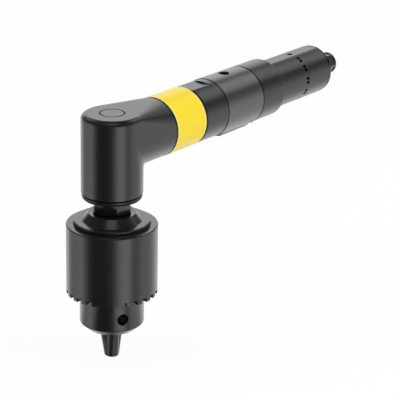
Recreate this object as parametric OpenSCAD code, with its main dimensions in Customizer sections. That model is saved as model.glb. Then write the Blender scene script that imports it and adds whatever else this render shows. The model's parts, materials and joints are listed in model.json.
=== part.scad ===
// Air powered right angle drill with a keyed three jaw chuck.
// Millimetres. Z is the chuck axis and the handle runs along +X. The origin is
// the middle of the mouth of the closed jaws, so everything stands above it.
// Inside the modules heights are counted from the handle axis; lift() moves
// them to the origin.

/* [Head] */
// Outer diameter of the upright part of the angle head
head_d = 28.9; // [28.9:0.1:31]
// Height of the flat top of the head above the handle axis
head_top = 14.25; // [14.25:0.05:15.5]
// Depth of the lower face of the head below the handle axis
head_depth = 24; // [24:0.1:27]
// Radius of the rounded edge around the top of the head
head_edge = 2.75; // [1.5:0.05:3]
// Distance from the chuck axis to the end of the arm of the head
arm_end = 30.5; // [30.5:0.1:33]

/* [Handle] */
// Length of the yellow coupling ring
ring_len = 21.3; // [21.3:0.1:24]
// Outer diameter of the coupling ring
ring_d = 28.8; // [28.4:0.1:30]
// Visible length of the gear case
case_len = 17.4; // [17:0.1:20]
// Outer diameter of the gear case
case_d = 28.5; // [28.4:0.1:30]
// Distance between the two wrench flats of the gear case
case_flats = 27; // [26.4:0.1:28]
// Length of the motor barrel between its two seams
barrel_len = 27.5; // [27.5:0.1:30]
// Outer diameter of the motor barrel and of the clamp seat
handle_d = 29; // [28.8:0.1:31]
// Length of the clamp seat at the front of the rear housing
seat_len = 17.1; // [16:0.1:20]
// Length of the narrow rear section of the rear housing
rear_len = 44.3; // [44:0.1:52]
// Outer diameter of the narrow rear section
rear_d = 24.6; // [24.4:0.1:26]
// Height of the flat on top of the rear section above the handle axis
rear_flat = 11.93; // [11.8:0.01:12.2]
// Length of the air inlet behind the rear housing
inlet_len = 14.1; // [14:0.1:18]

/* [Start lever] */
// Width of the start lever
lever_w = 14; // [12:0.1:14.4]
// Height of the outer face of the lever above the barrel surface
lever_rise = 0.92; // [0.7:0.01:1.2]
// Turn of the lever from rest to full air, in degrees
lever_turn = 3; // [2:0.1:3]

/* [Spindle and chuck] */
// Diameter of the spindle neck between the head and the chuck
neck_d = 16.92; // [16:0.02:17.4]
// Distance between the wrench flats of the neck
neck_flats = 14; // [13:0.1:15]
// Visible length of the spindle neck
neck_len = 7.3; // [7:0.1:9]
// Outer diameter of the chuck sleeve
sleeve_d = 43; // [42.6:0.1:46]
// Length of the chuck sleeve
sleeve_len = 34.3; // [34:0.1:36]
// Outer diameter of the chuck body below the sleeve
body_d = 30.4; // [30:0.1:31]
// Length of the chuck body below the sleeve
body_nose = 18; // [17:0.1:20]
// Reach of the closed jaws below the chuck body
jaw_reach = 15.1; // [14:0.1:16]
// Largest shank the jaws open to, diameter
grip_max = 10; // [6:0.5:10]
// Diameter of the three holes for the chuck key
key_hole_d = 5.6; // [5:0.1:6]
// Number of key teeth around the lower edge of the sleeve
key_teeth = 24; // [20:1:30]

/* [Fits] */
// Radial gap between a race or shaft and its seat
seat_gap = 0.02; // [0.01:0.005:0.03]
// Radial gap of a running fit
run_gap = 0.05; // [0.03:0.01:0.08]
// Free gap between pieces that pass without touching
air_gap = 0.3; // [0.2:0.05:0.35]
// Play taken off each side of a gear tooth
tooth_play = 0.03; // [0.02:0.005:0.05]

/* [Hidden] */
$fn = 72;
eps = 0.01;
far = 60;
to_deg = 180 / PI;

// Heights below the handle axis, worked down from the head to the jaw tips
cap_groove = 0.5;
cap_len = 1.9;
cap_spigot_len = 2.6;
cap_bottom = head_depth + cap_groove + cap_len;
chuck_top = cap_bottom + neck_len;
boss_len = 3.6;
collar_top = chuck_top + boss_len;
sleeve_top = collar_top + 1.9;
sleeve_bottom = sleeve_top + sleeve_len;
body_bottom = sleeve_bottom + body_nose;
tip = body_bottom + jaw_reach;

// Stations along the handle, measured from the chuck axis
ring_end = arm_end + ring_len;
case_end = ring_end + case_len;
barrel_end = case_end + barrel_len;
seat_end = barrel_end + seat_len;
rear_end = seat_end + rear_len;
tool_end = rear_end + inlet_len;

// Head, its plug, retaining ring and cavity
head_r = head_d / 2;
shoulder_in = 0.04;
arm_r = head_top - shoulder_in;
handle_r = handle_d / 2;
ring_r = ring_d / 2;
case_r = case_d / 2;
rear_r = rear_d / 2;
rim_chamfer = 0.35;
shoulder_len = 3;
plug_r = 5.85;
plug_t = 3;
plug_chamfer = 0.2;
plug_hole_r = 5.9;
cap_r = 13.4;
cap_chamfer = 0.4;
cap_spigot_r = 12.4;
head_cavity_r = 10.8;
flats_len = 6.1;
spindle_shoulder_r = 7.5;

// Ball bearings: [bore radius, outer radius, width, balls, ball radius]
lower_bore_r = 6;
lower_outer_r = 12;
lower_race_len = 6;
lower_balls = 11;
lower_ball_r = 1.75;
lower_bearing = [lower_bore_r, lower_outer_r, lower_race_len, lower_balls, lower_ball_r];
upper_bore_r = 3;
upper_outer_r = 6;
upper_race_len = 4;
upper_balls = 8;
upper_ball_r = 0.8;
upper_bearing = [upper_bore_r, upper_outer_r, upper_race_len, upper_balls, upper_ball_r];
pinion_bore_r = 4;
pinion_outer_r = 11;
pinion_race_len = 7;
pinion_balls = 7;
pinion_ball_r = 1.98;
pinion_bearing = [pinion_bore_r, pinion_outer_r, pinion_race_len, pinion_balls, pinion_ball_r];
carrier_bore_r = 5;
carrier_outer_r = 9.5;
carrier_race_len = 5;
carrier_balls = 10;
carrier_ball_r = 1.3;
carrier_bearing = [carrier_bore_r, carrier_outer_r, carrier_race_len, carrier_balls, carrier_ball_r];
rotor_bore_r = 2;
rotor_outer_r = 6;
rotor_race_len = 4;
rotor_balls = 7;
rotor_ball_r = 1;
rotor_bearing = [rotor_bore_r, rotor_outer_r, rotor_race_len, rotor_balls, rotor_ball_r];
ball_gap = 0.05;
pinion_race_gap = 2;
pinion_seat_x = 12;
pinion_bearings_at = [pinion_seat_x, pinion_seat_x + pinion_race_len + pinion_race_gap];
lower_bearing_z = -head_depth + cap_spigot_len;
upper_bearing_z = 6.5;

// Straight bevel pair with crossing axes
bevel_module = 1;
gear_teeth = 18;
pinion_teeth = 12;
pressure = 20;
gear_pitch_r = bevel_module * gear_teeth / 2;
pinion_pitch_r = bevel_module * pinion_teeth / 2;
bevel_add = 1;
bevel_ded = 1.2;
gear_rim_r = 10.2;
gear_hub_r = 8;
gear_bore_r = 5;
gear_recess_r = 5.6;
gear_face = [3.3, 8.6];
gear_recess_z = 5.2;
gear_web_t = 1.4;
gear_rest_gap = 0.2;
gear_bottom = -lower_bearing_z - lower_race_len - gear_rest_gap;
pinion_face = [6.4, 9.4];
pinion_hub_r = 4.8;
spacer_r = 5.6;
pinion_nut_flats = 12;
nut_reach = 0.3;
pinion_nut_end = arm_end + nut_reach;
shaft_reach = 0.5;
shaft_end = arm_end + shaft_reach;
key_size = [2, 2, 6];
key_end_gap = 1.2;
key_z = key_size[2] / 2 + key_end_gap - gear_bottom;

// Planetary stage
planet_module = 0.6;
sun_teeth = 12;
planet_teeth = 12;
ring_teeth = 36;
planet_r = planet_module * (sun_teeth + planet_teeth) / 2;
planet_add = 0.51;
planet_ded = 0.69;
ring_add = 0.35;
planet_angles = [90, 210, 330];
planet_pin_r = 1.4;
stage_gap = 2.5;
stage_x0 = arm_end + stage_gap;
carrier_gap = 0.4;
carrier_bearing_x = stage_x0 + carrier_gap;
carrier_disc_gap = 0.3;
carrier_disc_x = carrier_bearing_x + carrier_bearing[2] + carrier_disc_gap;
carrier_disc_t = 2.3;
planet_x0 = carrier_disc_x + carrier_disc_t + carrier_gap;
planet_len = 8.4;
planet_x1 = planet_x0 + planet_len;
spigot_r = 12.6;
ring_web_r = 10;
carrier_disc_r = 9.8;
carrier_room_r = 10.3;
ring_run_out = 0.5;
barrel_spigot_len = 5.1;
flats_step = 3.5;
hex_drive = 6;
hex_reach = 3.5;
hex_end = stage_x0 + hex_reach;

// Vane motor
motor_bore_r = 11.05;
motor_r = 11;
plate_t = 4.5;
motor_gap = 1.2;
motor_x0 = ring_end + motor_gap;
motor_bore_len = 9.7;
motor_bore_end = case_end + motor_bore_len;
motor_end_gap = 0.1;
motor_x1 = motor_bore_end - motor_end_gap;
rotor_bearings_at = [motor_x0, motor_x1 - rotor_bearing[2]];
cylinder_x0 = motor_x0 + plate_t;
cylinder_x1 = motor_x1 - plate_t;
cylinder_bore_r = 9.2;
cylinder_offset = 0.8;
rotor_r = 8.3;
rotor_shaft_r = rotor_bearing[0];
vane_count = 5;
vane_t = 1.2;
vane_h = 4.2;
port_r = 1.5;
feed_z = -8;
relief_r = 1.65;
relief_out = 0.3;
relief_ring_r = motor_r + relief_out;
relief_start = 4;

// Start lever and valve in the barrel
lever_in_r = 13.7;
lever_out_r = handle_r + lever_rise;
lever_front_gap = 0.5;
lever_x0 = case_end + lever_front_gap;
lever_rear_gap = 0.3;
lever_x1 = barrel_end - lever_rear_gap;
pocket_gap = 0.3;
pocket_w = lever_w + 2 * pocket_gap;
pivot_from_seam = 2.2;
pivot_x = barrel_end - pivot_from_seam;
pivot_z = -11;
floor_r = lever_in_r - (pivot_x - lever_x0) * tan(lever_turn) - run_gap;
pivot_r = 1;
pivot_half = 9.2;
lug_r = 1.9;
lug_half = 5;
lug_drop = 2.9;
lip = 0.7;
tail_slope = 2.7;
tail_drop = 0.05;
inlet_port_r = 2.2;
valve_from_case = 13.3;
valve_x = case_end + valve_from_case;
valve_bore_r = 2.5;
valve_top_r = 2.75;
valve_plug_z = [6, 10];
valve_seat_z = [-6, -4.5];
valve_head_t = 2;
valve_head_r = 2.1;
stem_r = 1.2;
stem_tip = 13.6;
chamber_z = -10;
spring_wire = 0.22;
spring_mean = 1.7;
spring_turns = 7;
spring_seat_gap = 0.02;
plug_socket = [2.5, 2];
seat_opening_r = 1.7;

// Rear housing and air inlet
rear_spigot_r = 8;
rear_spigot_len = 6.7;
rear_bore_r = 10.8;
rear_wall = 3.3;
rear_end_wall = 8.1;
rear_bore_end = rear_end - rear_end_wall;
rear_chamfer = 0.65;
tube_seat_depth = 2;
tube_end = rear_bore_end + tube_seat_depth;
bush_start = rear_bore_end - tube_seat_depth;
silencer_from_step = 6;
silencer_start = seat_end + silencer_from_step;
silencer_r = 10.6;
tube_r = [3.4, 4.5];
tube_seat_from_seam = 8.2;
tube_seat_x = barrel_end - tube_seat_from_seam;
exhaust_angles = [30, 55, 125, 150];
exhaust_r = 1.05;
exhaust_ring_r = 9.9;
vent_from_step = 23.4;
vent_x = seat_end + vent_from_step;
vent_r = 1;
vent_pair = 8.3;
vent_angles = [59, 33.5, 3, -27.5, -58];
flat_hole_from_step = 23.7;
flat_hole_x = seat_end + flat_hole_from_step;
flat_hole_r = 1.3;
bush_r = 7;
bush_hex = 10;
bush_collar_r = 8.2;
bush_flange_r = 5.5;
bush_collar_t = 1.6;
bush_neck_r = 4.9;
hex_len = 5.6;
hex_start = tool_end - hex_len;
flange_t = 1.2;
flange_lip_t = 0.6;
inlet_thread_r = 3.5;
inlet_thread_len = 12;
bush_bore_r = 2.6;
seal_t = 0.55;
seal_depth = 1.6;
seal_x = rear_end - seal_depth;
strainer_r = 3.2;
strainer_t = 0.6;
strainer_hole_r = 0.5;
strainer_ring_r = 1.7;

// Chuck
sleeve_r = sleeve_d / 2;
sleeve_wall = 1.8;
cavity_r = sleeve_r - sleeve_wall;
lip_t = 1.9;
collar_in = 3.65;
collar_r = sleeve_r - collar_in;
body_r = body_d / 2;
body_edge = 4;
collar_edge = 1;
lip_gap = 0.1;
collar_gap = 0.15;
sleeve_bottom_chamfer = 0.3;
sleeve_top_chamfer = 0.5;
boss_r = [11.4, 13.5];
jaw_angles = [-126, -6, 114];
jaw_tilt = 15;
nose_tilt = 10;
jaw_r = 4.2;
nose_r = 3;
jaw_offset = -0.6;
nose_offset = 0.5;
jaw_split = 0.15;
jaw_len = 40.1;
jaw_join_in = 1.5;
jaw_join = body_bottom - jaw_join_in;
jaw_head_room = 0.7;
jaw_bore_top = tip - jaw_len - grip_max / 2 / tan(jaw_tilt) - jaw_head_room;
nut_h = 5;
nut_split = 0.1;
nut_play = 0.1;
groove_gap = 0.2;
nut_z = sleeve_bottom - lip_t - lip_gap;
thread_drop = 15.8;
thread_z = chuck_top + thread_drop;
thread_relief = 0.5;
spindle_nose_r = 6;
bit_bore_r = 5.3;
bit_bore_top = 58;
key_hole_drop = 9;
key_hole_z = sleeve_bottom + key_hole_drop;
key_hole_floor = 11.6;
key_hole_angles = [-119, 1, 121];
key_tooth_w = 2.7;
key_tooth_h = 2.3;
key_tooth_root = 1;
key_tooth_in = body_r + key_tooth_root;
key_tooth_turn = -139;

// Shared shapes

module lift() {
  translate([0, 0, tip]) children();
}

module z_cyl(r, z0, z1) {
  translate([0, 0, z0]) cylinder(r = r, h = z1 - z0);
}

module x_cyl(r, x0, x1) {
  translate([x0, 0, 0]) rotate([0, 90, 0]) cylinder(r = r, h = x1 - x0);
}

module y_cyl(r, half) {
  rotate([90, 0, 0]) cylinder(r = r, h = 2 * half, center = true);
}

// Solid of revolution about X; profile points are [radius, station]
module x_turn() {
  rotate([0, 90, 0]) rotate_extrude() children();
}

module x_tube(r_in, r_out, x0, x1) {
  x_turn() translate([r_in, x0]) square([r_out - r_in, x1 - x0]);
}

module z_tube(r_in, r_out, z0, z1) {
  rotate_extrude() translate([r_in, z0]) square([r_out - r_in, z1 - z0]);
}

// Cylinder about X with both rims chamfered
module x_rimmed(r, x0, x1, c) {
  x_turn() polygon([[0, x0], [r - c, x0], [r, x0 + c], [r, x1 - c], [r - c, x1], [0, x1]]);
}

// Hexagonal bar about X, two flats facing up and down
module x_hex(flats, x0, x1) {
  translate([x0, 0, 0]) rotate([0, 90, 0]) cylinder(d = flats / cos(30), h = x1 - x0, $fn = 6);
}

// Involute of a roll angle, in radians, for an angle in degrees
function inv(a) = tan(a) - a * PI / 180;
// Half of a tooth's angle at radius r on a gear with base radius rb
function tooth_half(teeth, rb, r) =
  90 / teeth + (inv(pressure) - inv(acos(min(1, rb / r)))) * to_deg;
// Half angle of a plane gear tooth with the play taken off
function spur_half(m, teeth, r, play) =
  tooth_half(teeth, m * teeth / 2 * cos(pressure), r) - play / r * to_deg;
// Half angle of a bevel tooth at height h, from the matching back cone gear
function bevel_half(teeth, cone, h, play) =
  let (rv = bevel_module * teeth / 2 / cos(cone), r = bevel_module * teeth / 2 + h * cos(cone))
  tooth_half(teeth / cos(cone), rv * cos(pressure), rv + h) * (rv + h) / r - play / r * to_deg;
// Outline of a gear from rising pairs of [radius, half angle]
function gear_outline(teeth, flank) = [
  for (i = [0:teeth - 1])
    each concat(
      [for (j = [0:len(flank) - 1])
        let (a = i * 360 / teeth - flank[j][1]) flank[j][0] * [cos(a), sin(a)]],
      [for (j = [len(flank) - 1:-1:0])
        let (a = i * 360 / teeth + flank[j][1]) flank[j][0] * [cos(a), sin(a)]])
];
// Heights at which a flank is worked out, between root and tip
function steps(low, high, count) = [for (i = [0:count]) low + (high - low) * i / count];
function spur_flank(m, teeth, add, ded, play) = [
  for (h = steps(-ded, add, 5)) let (r = m * teeth / 2 + h) [r, spur_half(m, teeth, r, play)]
];
// Points at height h on the back cone, carried to the plane of the pitch circle
function bevel_flank(teeth, mate, play) = [
  for (h = steps(-bevel_ded, bevel_add, 5))
    let (cone = atan(teeth / mate), reach = bevel_module * mate / 2)
    [(bevel_module * teeth / 2 + h * cos(cone)) * reach / (reach - h * sin(cone)),
      bevel_half(teeth, cone, h, play)]
];

// Ball bearing pieces around Z, standing on z = 0
module race_outer(b) {
  pitch = (b[0] + b[1]) / 2;
  rotate_extrude() difference() {
    translate([pitch + b[4] * 0.45, 0]) square([b[1] - seat_gap - pitch - b[4] * 0.45, b[2]]);
    translate([pitch, b[2] / 2]) circle(r = b[4] + ball_gap);
  }
}

module race_inner(b) {
  pitch = (b[0] + b[1]) / 2;
  rotate_extrude() difference() {
    translate([b[0] + seat_gap, 0]) square([pitch - b[4] * 0.45 - b[0] - seat_gap, b[2]]);
    translate([pitch, b[2] / 2]) circle(r = b[4] + ball_gap);
  }
}

module balls(b) {
  for (i = [0:b[3] - 1])
    rotate([0, 0, i * 360 / b[3]]) translate([(b[0] + b[1]) / 2, 0, b[2] / 2]) sphere(r = b[4]);
}

module on_x(x) {
  translate([x, 0, 0]) rotate([0, 90, 0]) children();
}

// Angle head

module head_outside() {
  rotate_extrude() union() {
    translate([0, -head_depth]) square([head_r - rim_chamfer, head_depth + head_top - head_edge]);
    translate([0, -head_depth + rim_chamfer])
      square([head_r, head_depth + head_top - head_edge - rim_chamfer]);
    square([head_r - head_edge, head_top]);
    translate([head_r - head_edge, head_top - head_edge]) circle(r = head_edge);
  }
  hull() {
    x_cyl(arm_r, 0.5, arm_end - 1, $fn = 32);
    for (side = [-1, 1])
      translate([0, side * (head_r - head_edge - shoulder_in), head_top - head_edge - shoulder_in])
        x_cyl(head_edge, 0.5, shoulder_len, $fn = 32);
  }
  x_rimmed(arm_r, arm_end - 2, arm_end, rim_chamfer);
}

module angle_head() {
  color("dimgray") lift() difference() {
    head_outside();
    z_cyl(cap_spigot_r + seat_gap, -head_depth - 1, lower_bearing_z);
    z_cyl(lower_bearing[1], -head_depth, lower_bearing_z + lower_bearing[2]);
    z_cyl(head_cavity_r, -head_depth, upper_bearing_z);
    z_cyl(upper_bearing[1], 0, upper_bearing_z + upper_bearing[2]);
    z_cyl(plug_hole_r, 0, head_top + 1);
    x_cyl(gear_hub_r, 0, pinion_bearings_at[0] + 1);
    x_cyl(pinion_bearing[1], pinion_bearings_at[0], arm_end);
    x_cyl(spigot_r + seat_gap, pinion_bearings_at[1] + pinion_bearing[2], arm_end + 1);
  }
}

module head_plug() {
  color("gray") lift()
    rotate_extrude() polygon([[0, head_top - plug_t], [plug_r, head_top - plug_t],
      [plug_r, head_top - plug_chamfer], [plug_r - plug_chamfer, head_top], [0, head_top]]);
}

module head_retaining_ring() {
  color("dimgray") lift() rotate_extrude()
    polygon([[neck_d / 2 + air_gap, -cap_bottom], [cap_r - cap_chamfer, -cap_bottom],
      [cap_r, -cap_bottom + cap_chamfer], [cap_r, -head_depth - cap_groove],
      [cap_spigot_r, -head_depth - cap_groove], [cap_spigot_r, lower_bearing_z],
      [neck_d / 2 + air_gap, lower_bearing_z]]);
}

module lower_bearing_outer() {
  color("silver") lift() translate([0, 0, lower_bearing_z]) race_outer(lower_bearing);
}

module lower_bearing_inner() {
  color("silver") lift() translate([0, 0, lower_bearing_z]) race_inner(lower_bearing);
}

module lower_bearing_balls() {
  color("lightgray") lift() translate([0, 0, lower_bearing_z]) balls(lower_bearing);
}

module upper_bearing_outer() {
  color("silver") lift() translate([0, 0, upper_bearing_z]) race_outer(upper_bearing);
}

module upper_bearing_inner() {
  color("silver") lift() translate([0, 0, upper_bearing_z]) race_inner(upper_bearing);
}

module upper_bearing_balls() {
  color("lightgray") lift() translate([0, 0, upper_bearing_z]) balls(upper_bearing);
}

// Spindle with its nose, wrench flats, bearing seats and key slot
module spindle() {
  color("darkgray") lift() difference() {
    union() {
      z_cyl(neck_d / 2, -chuck_top, lower_bearing_z - 1);
      z_cyl(spindle_nose_r, -thread_z, -chuck_top);
      z_cyl(spindle_shoulder_r, lower_bearing_z - 1, lower_bearing_z);
      z_cyl(lower_bearing[0], lower_bearing_z, lower_bearing_z + lower_bearing[2]);
      z_cyl(gear_bore_r, lower_bearing_z + lower_bearing[2], -gear_recess_z);
      z_cyl(upper_bearing[0], -gear_recess_z, upper_bearing_z + upper_bearing[2]);
    }
    for (side = [-1, 1])
      translate([-far / 2, side * (neck_flats / 2 + 5) - 5, -cap_bottom - flats_len])
        cube([far, 10, flats_len]);
    translate([-gear_bore_r - 1, -key_size[1] / 2 - run_gap, key_z - key_size[2] / 2])
      cube([1 + key_size[0] / 2 + run_gap, key_size[1] + 2 * run_gap, key_size[2]]);
  }
}

module bevel_gear() {
  flank = bevel_flank(gear_teeth, pinion_teeth, tooth_play);
  grow = gear_face[1] / pinion_pitch_r;
  color("gray") lift() difference() {
    union() {
      intersection() {
        translate([0, 0, -gear_face[1]])
          linear_extrude(height = gear_face[1] - gear_face[0], scale = gear_face[0] / gear_face[1])
          polygon(grow * gear_outline(gear_teeth, flank));
        z_cyl(gear_rim_r, -gear_face[1], 0);
      }
      z_cyl(gear_rim_r, -gear_face[1] - gear_web_t, -gear_face[1] + eps);
      z_cyl(gear_hub_r, -gear_bottom, -gear_face[1]);
    }
    z_cyl(gear_bore_r + seat_gap, -far, 0);
    z_cyl(gear_recess_r, -gear_recess_z, 0);
    translate([-gear_bore_r - 1 - run_gap, -key_size[1] / 2 - run_gap, key_z - key_size[2] / 2])
      cube([key_size[0], key_size[1] + 2 * run_gap, far]);
  }
}

module gear_key() {
  color("silver") lift()
    translate([-gear_bore_r - 1, -key_size[1] / 2, key_z - key_size[2] / 2 + run_gap])
    cube([key_size[0], key_size[1], key_size[2] - 2 * run_gap]);
}

module bevel_pinion() {
  flank = bevel_flank(pinion_teeth, gear_teeth, tooth_play);
  small = pinion_face[0] / gear_pitch_r;
  color("gray") lift() {
    on_x(pinion_face[0]) rotate([0, 0, 180 / pinion_teeth])
      linear_extrude(height = pinion_face[1] - pinion_face[0], scale = pinion_face[1] / pinion_face[0])
      polygon(small * gear_outline(pinion_teeth, flank));
    x_cyl(pinion_hub_r, pinion_face[1] - eps, pinion_bearings_at[0]);
    x_cyl(pinion_bearing[0], pinion_bearings_at[0] - eps, shaft_end);
    x_hex(hex_drive, shaft_end - eps, hex_end);
  }
}

module pinion_spacer() {
  color("silver") lift()
    x_tube(pinion_bearing[0] + seat_gap, spacer_r, pinion_bearings_at[0] + pinion_bearing[2],
      pinion_bearings_at[1]);
}

module pinion_nut() {
  color("dimgray") lift() difference() {
    x_hex(pinion_nut_flats, pinion_bearings_at[1] + pinion_bearing[2], pinion_nut_end);
    x_cyl(pinion_bearing[0] + seat_gap, pinion_bearings_at[1], arm_end + 1);
  }
}

module pinion_bearing_outer() {
  color("silver") lift() for (x = pinion_bearings_at) on_x(x) race_outer(pinion_bearing);
}

module pinion_bearing_inner() {
  color("silver") lift() for (x = pinion_bearings_at) on_x(x) race_inner(pinion_bearing);
}

module pinion_bearing_balls() {
  color("lightgray") lift() for (x = pinion_bearings_at) on_x(x) balls(pinion_bearing);
}

// Coupling ring and gear case

module coupling_ring() {
  color("gold") lift() difference() {
    union() {
      x_rimmed(ring_r, arm_end, ring_end, rim_chamfer);
      x_cyl(spigot_r, pinion_bearings_at[1] + pinion_bearing[2], arm_end + 1);
    }
    x_cyl(ring_web_r, 0, far * 2);
    x_cyl(spigot_r + seat_gap, stage_x0, ring_end + 1);
  }
}

module gear_case() {
  color("dimgray") lift() difference() {
    union() {
      x_cyl(spigot_r, stage_x0, ring_end + 1);
      difference() {
        x_rimmed(case_r, ring_end, case_end, rim_chamfer);
        for (side = [-1, 1])
          translate([ring_end - 1, -far / 2, side * (case_flats / 2 + 5) - 5])
            cube([case_len - flats_step + 1, far, 10]);
      }
    }
    x_cyl(carrier_bearing[1], stage_x0 - 1, carrier_bearing_x + carrier_bearing[2]);
    x_cyl(carrier_room_r, carrier_bearing_x + carrier_bearing[2] - eps, planet_x0);
    on_x(planet_x0 - eps) rotate([0, 0, 180 / ring_teeth])
      linear_extrude(height = planet_x1 - planet_x0 + ring_run_out)
      polygon(gear_outline(ring_teeth, ring_space()));
    x_cyl(motor_bore_r, planet_x1 + air_gap, case_end + 1);
    x_cyl(spigot_r + seat_gap, case_end - barrel_spigot_len - 0.1, case_end + 1);
  }
}

// The space between ring teeth is cut with an outside gear of the same size
function ring_space() = [
  for (h = steps(-ring_add, planet_ded, 5))
    let (r = planet_module * ring_teeth / 2 + h)
    [r, spur_half(planet_module, ring_teeth, r, -tooth_play)]
];

module planet_carrier() {
  color("gray") lift() difference() {
    union() {
      x_cyl(carrier_bearing[0], stage_x0 + 0.2, carrier_disc_x);
      x_cyl(carrier_disc_r, carrier_disc_x, carrier_disc_x + carrier_disc_t);
    }
    x_hex(hex_drive + 2 * run_gap, stage_x0, hex_end + 0.4);
    for (a = planet_angles)
      rotate([a, 0, 0]) translate([0, planet_r, 0]) x_cyl(planet_pin_r, carrier_disc_x - 1, far);
  }
}

module planet_pins() {
  color("silver") lift() for (a = planet_angles)
    rotate([a, 0, 0]) translate([0, planet_r, 0])
      x_cyl(planet_pin_r - 0.005, carrier_disc_x + 0.1, planet_x1 + 0.3);
}

// A tooth space of each planet faces the sun
module planet(a) {
  flank = spur_flank(planet_module, planet_teeth, planet_add, planet_ded, tooth_play);
  color("silver") lift() rotate([a, 0, 0]) translate([0, planet_r, 0])
    on_x(planet_x0) rotate([0, 0, 90 + 180 / planet_teeth]) difference() {
      linear_extrude(height = planet_x1 - planet_x0)
        polygon(gear_outline(planet_teeth, flank));
      translate([0, 0, -1]) cylinder(r = planet_pin_r + run_gap, h = far);
    }
}

module planet_gear_1() { planet(planet_angles[0]); }
module planet_gear_2() { planet(planet_angles[1]); }
module planet_gear_3() { planet(planet_angles[2]); }

module carrier_bearing_outer() {
  color("silver") lift() on_x(carrier_bearing_x) race_outer(carrier_bearing);
}

module carrier_bearing_inner() {
  color("silver") lift() on_x(carrier_bearing_x) race_inner(carrier_bearing);
}

module carrier_bearing_balls() {
  color("lightgray") lift() on_x(carrier_bearing_x) balls(carrier_bearing);
}

// Vane motor

module sun_pinion() {
  flank = spur_flank(planet_module, sun_teeth, planet_add, planet_ded, tooth_play);
  color("silver") lift() on_x(planet_x0 + 0.3) rotate([0, 0, 90]) difference() {
    linear_extrude(height = planet_x1 - planet_x0 + 0.6) polygon(gear_outline(sun_teeth, flank));
    translate([0, 0, -1]) cylinder(r = rotor_shaft_r + seat_gap, h = far);
  }
}

module end_plate(x0, seat_x0, seat_x1) {
  difference() {
    x_cyl(motor_r, x0, x0 + plate_t);
    x_cyl(rotor_bearing[1], seat_x0, seat_x1);
    x_cyl(rotor_shaft_r + air_gap, x0 - 1, x0 + plate_t + 1);
  }
}

module front_end_plate() {
  color("gray") lift() end_plate(motor_x0, motor_x0 - 1, motor_x0 + rotor_bearing[2]);
}

module rear_end_plate() {
  color("gray") lift() difference() {
    end_plate(cylinder_x1, motor_x1 - rotor_bearing[2], motor_x1 + 1);
    translate([0, 0, feed_z]) x_cyl(port_r, cylinder_x1 - 1, motor_bore_end);
    for (a = exhaust_angles)
      rotate([a, 0, 0]) translate([0, exhaust_ring_r, 0]) x_cyl(exhaust_r, cylinder_x1 - 1, far * 2);
  }
}

module motor_cylinder() {
  color("gray") lift() difference() {
    x_cyl(motor_r, cylinder_x0, cylinder_x1);
    translate([0, 0, -cylinder_offset]) x_cyl(cylinder_bore_r, cylinder_x0 - 1, cylinder_x1 + 1);
    for (a = exhaust_angles)
      rotate([a, 0, 0]) translate([0, relief_ring_r, 0])
        x_cyl(relief_r, cylinder_x0 + relief_start, cylinder_x1 + 1);
  }
}

module rotor() {
  color("silver") lift() difference() {
    union() {
      x_cyl(rotor_r, cylinder_x0 + 0.1, cylinder_x1 - 0.1);
      x_cyl(rotor_shaft_r, planet_x0 + 0.2, motor_x1 - 0.1);
    }
    for (i = [0:vane_count - 1])
      rotate([i * 360 / vane_count, 0, 0])
        translate([cylinder_x0, rotor_r - vane_h - 0.3, -vane_t / 2 - run_gap])
        cube([cylinder_x1 - cylinder_x0, vane_h + 1, vane_t + 2 * run_gap]);
  }
}

module rotor_vanes() {
  color("tan") lift() for (i = [0:vane_count - 1])
    rotate([i * 360 / vane_count, 0, 0])
      translate([cylinder_x0 + 0.2, rotor_r - vane_h - 0.2, -vane_t / 2])
      cube([cylinder_x1 - cylinder_x0 - 0.4, vane_h, vane_t]);
}

module rotor_bearing_outer() {
  color("silver") lift() for (x = rotor_bearings_at) on_x(x) race_outer(rotor_bearing);
}

module rotor_bearing_inner() {
  color("silver") lift() for (x = rotor_bearings_at) on_x(x) race_inner(rotor_bearing);
}

module rotor_bearing_balls() {
  color("lightgray") lift() for (x = rotor_bearings_at) on_x(x) balls(rotor_bearing);
}

// Barrel, lever and valve

module motor_barrel() {
  color("dimgray") lift() difference() {
    union() {
      x_cyl(spigot_r, case_end - barrel_spigot_len, case_end + 1);
      x_rimmed(handle_r, case_end, barrel_end, rim_chamfer);
    }
    x_cyl(motor_bore_r, 0, motor_bore_end);
    // Pocket for the lever and its hinge lug
    intersection() {
      x_tube(floor_r, far, case_end - eps, far * 3);
      translate([case_end - eps, -pocket_w / 2, -far]) cube([far * 2, pocket_w, far]);
    }
    translate([pivot_x, 0, pivot_z]) {
      y_cyl(lug_r + air_gap, lug_half + air_gap);
      translate([-lug_r - air_gap, -lug_half - air_gap, -far])
        cube([far, 2 * (lug_half + air_gap), far]);
      y_cyl(pivot_r, pivot_half);
    }
    // Valve bore, chambers and ports
    translate([valve_x, 0, 0]) {
      z_cyl(stem_r + run_gap, -far, 0);
      z_cyl(valve_bore_r, chamber_z, valve_plug_z[0] + eps);
      z_cyl(valve_top_r, valve_plug_z[0], far);
    }
    translate([0, 0, feed_z]) x_cyl(port_r, motor_bore_end - 1, valve_x);
    x_cyl(inlet_port_r, valve_x, tube_seat_x + 1);
    x_cyl(tube_r[1] + seat_gap, tube_seat_x, far * 2);
    x_cyl(rear_spigot_r + seat_gap, barrel_end - rear_spigot_len - 0.1, far * 2);
    for (a = exhaust_angles)
      rotate([a, 0, 0]) translate([0, exhaust_ring_r, 0]) x_cyl(exhaust_r, motor_bore_end - 1, far * 2);
  }
}

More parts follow.
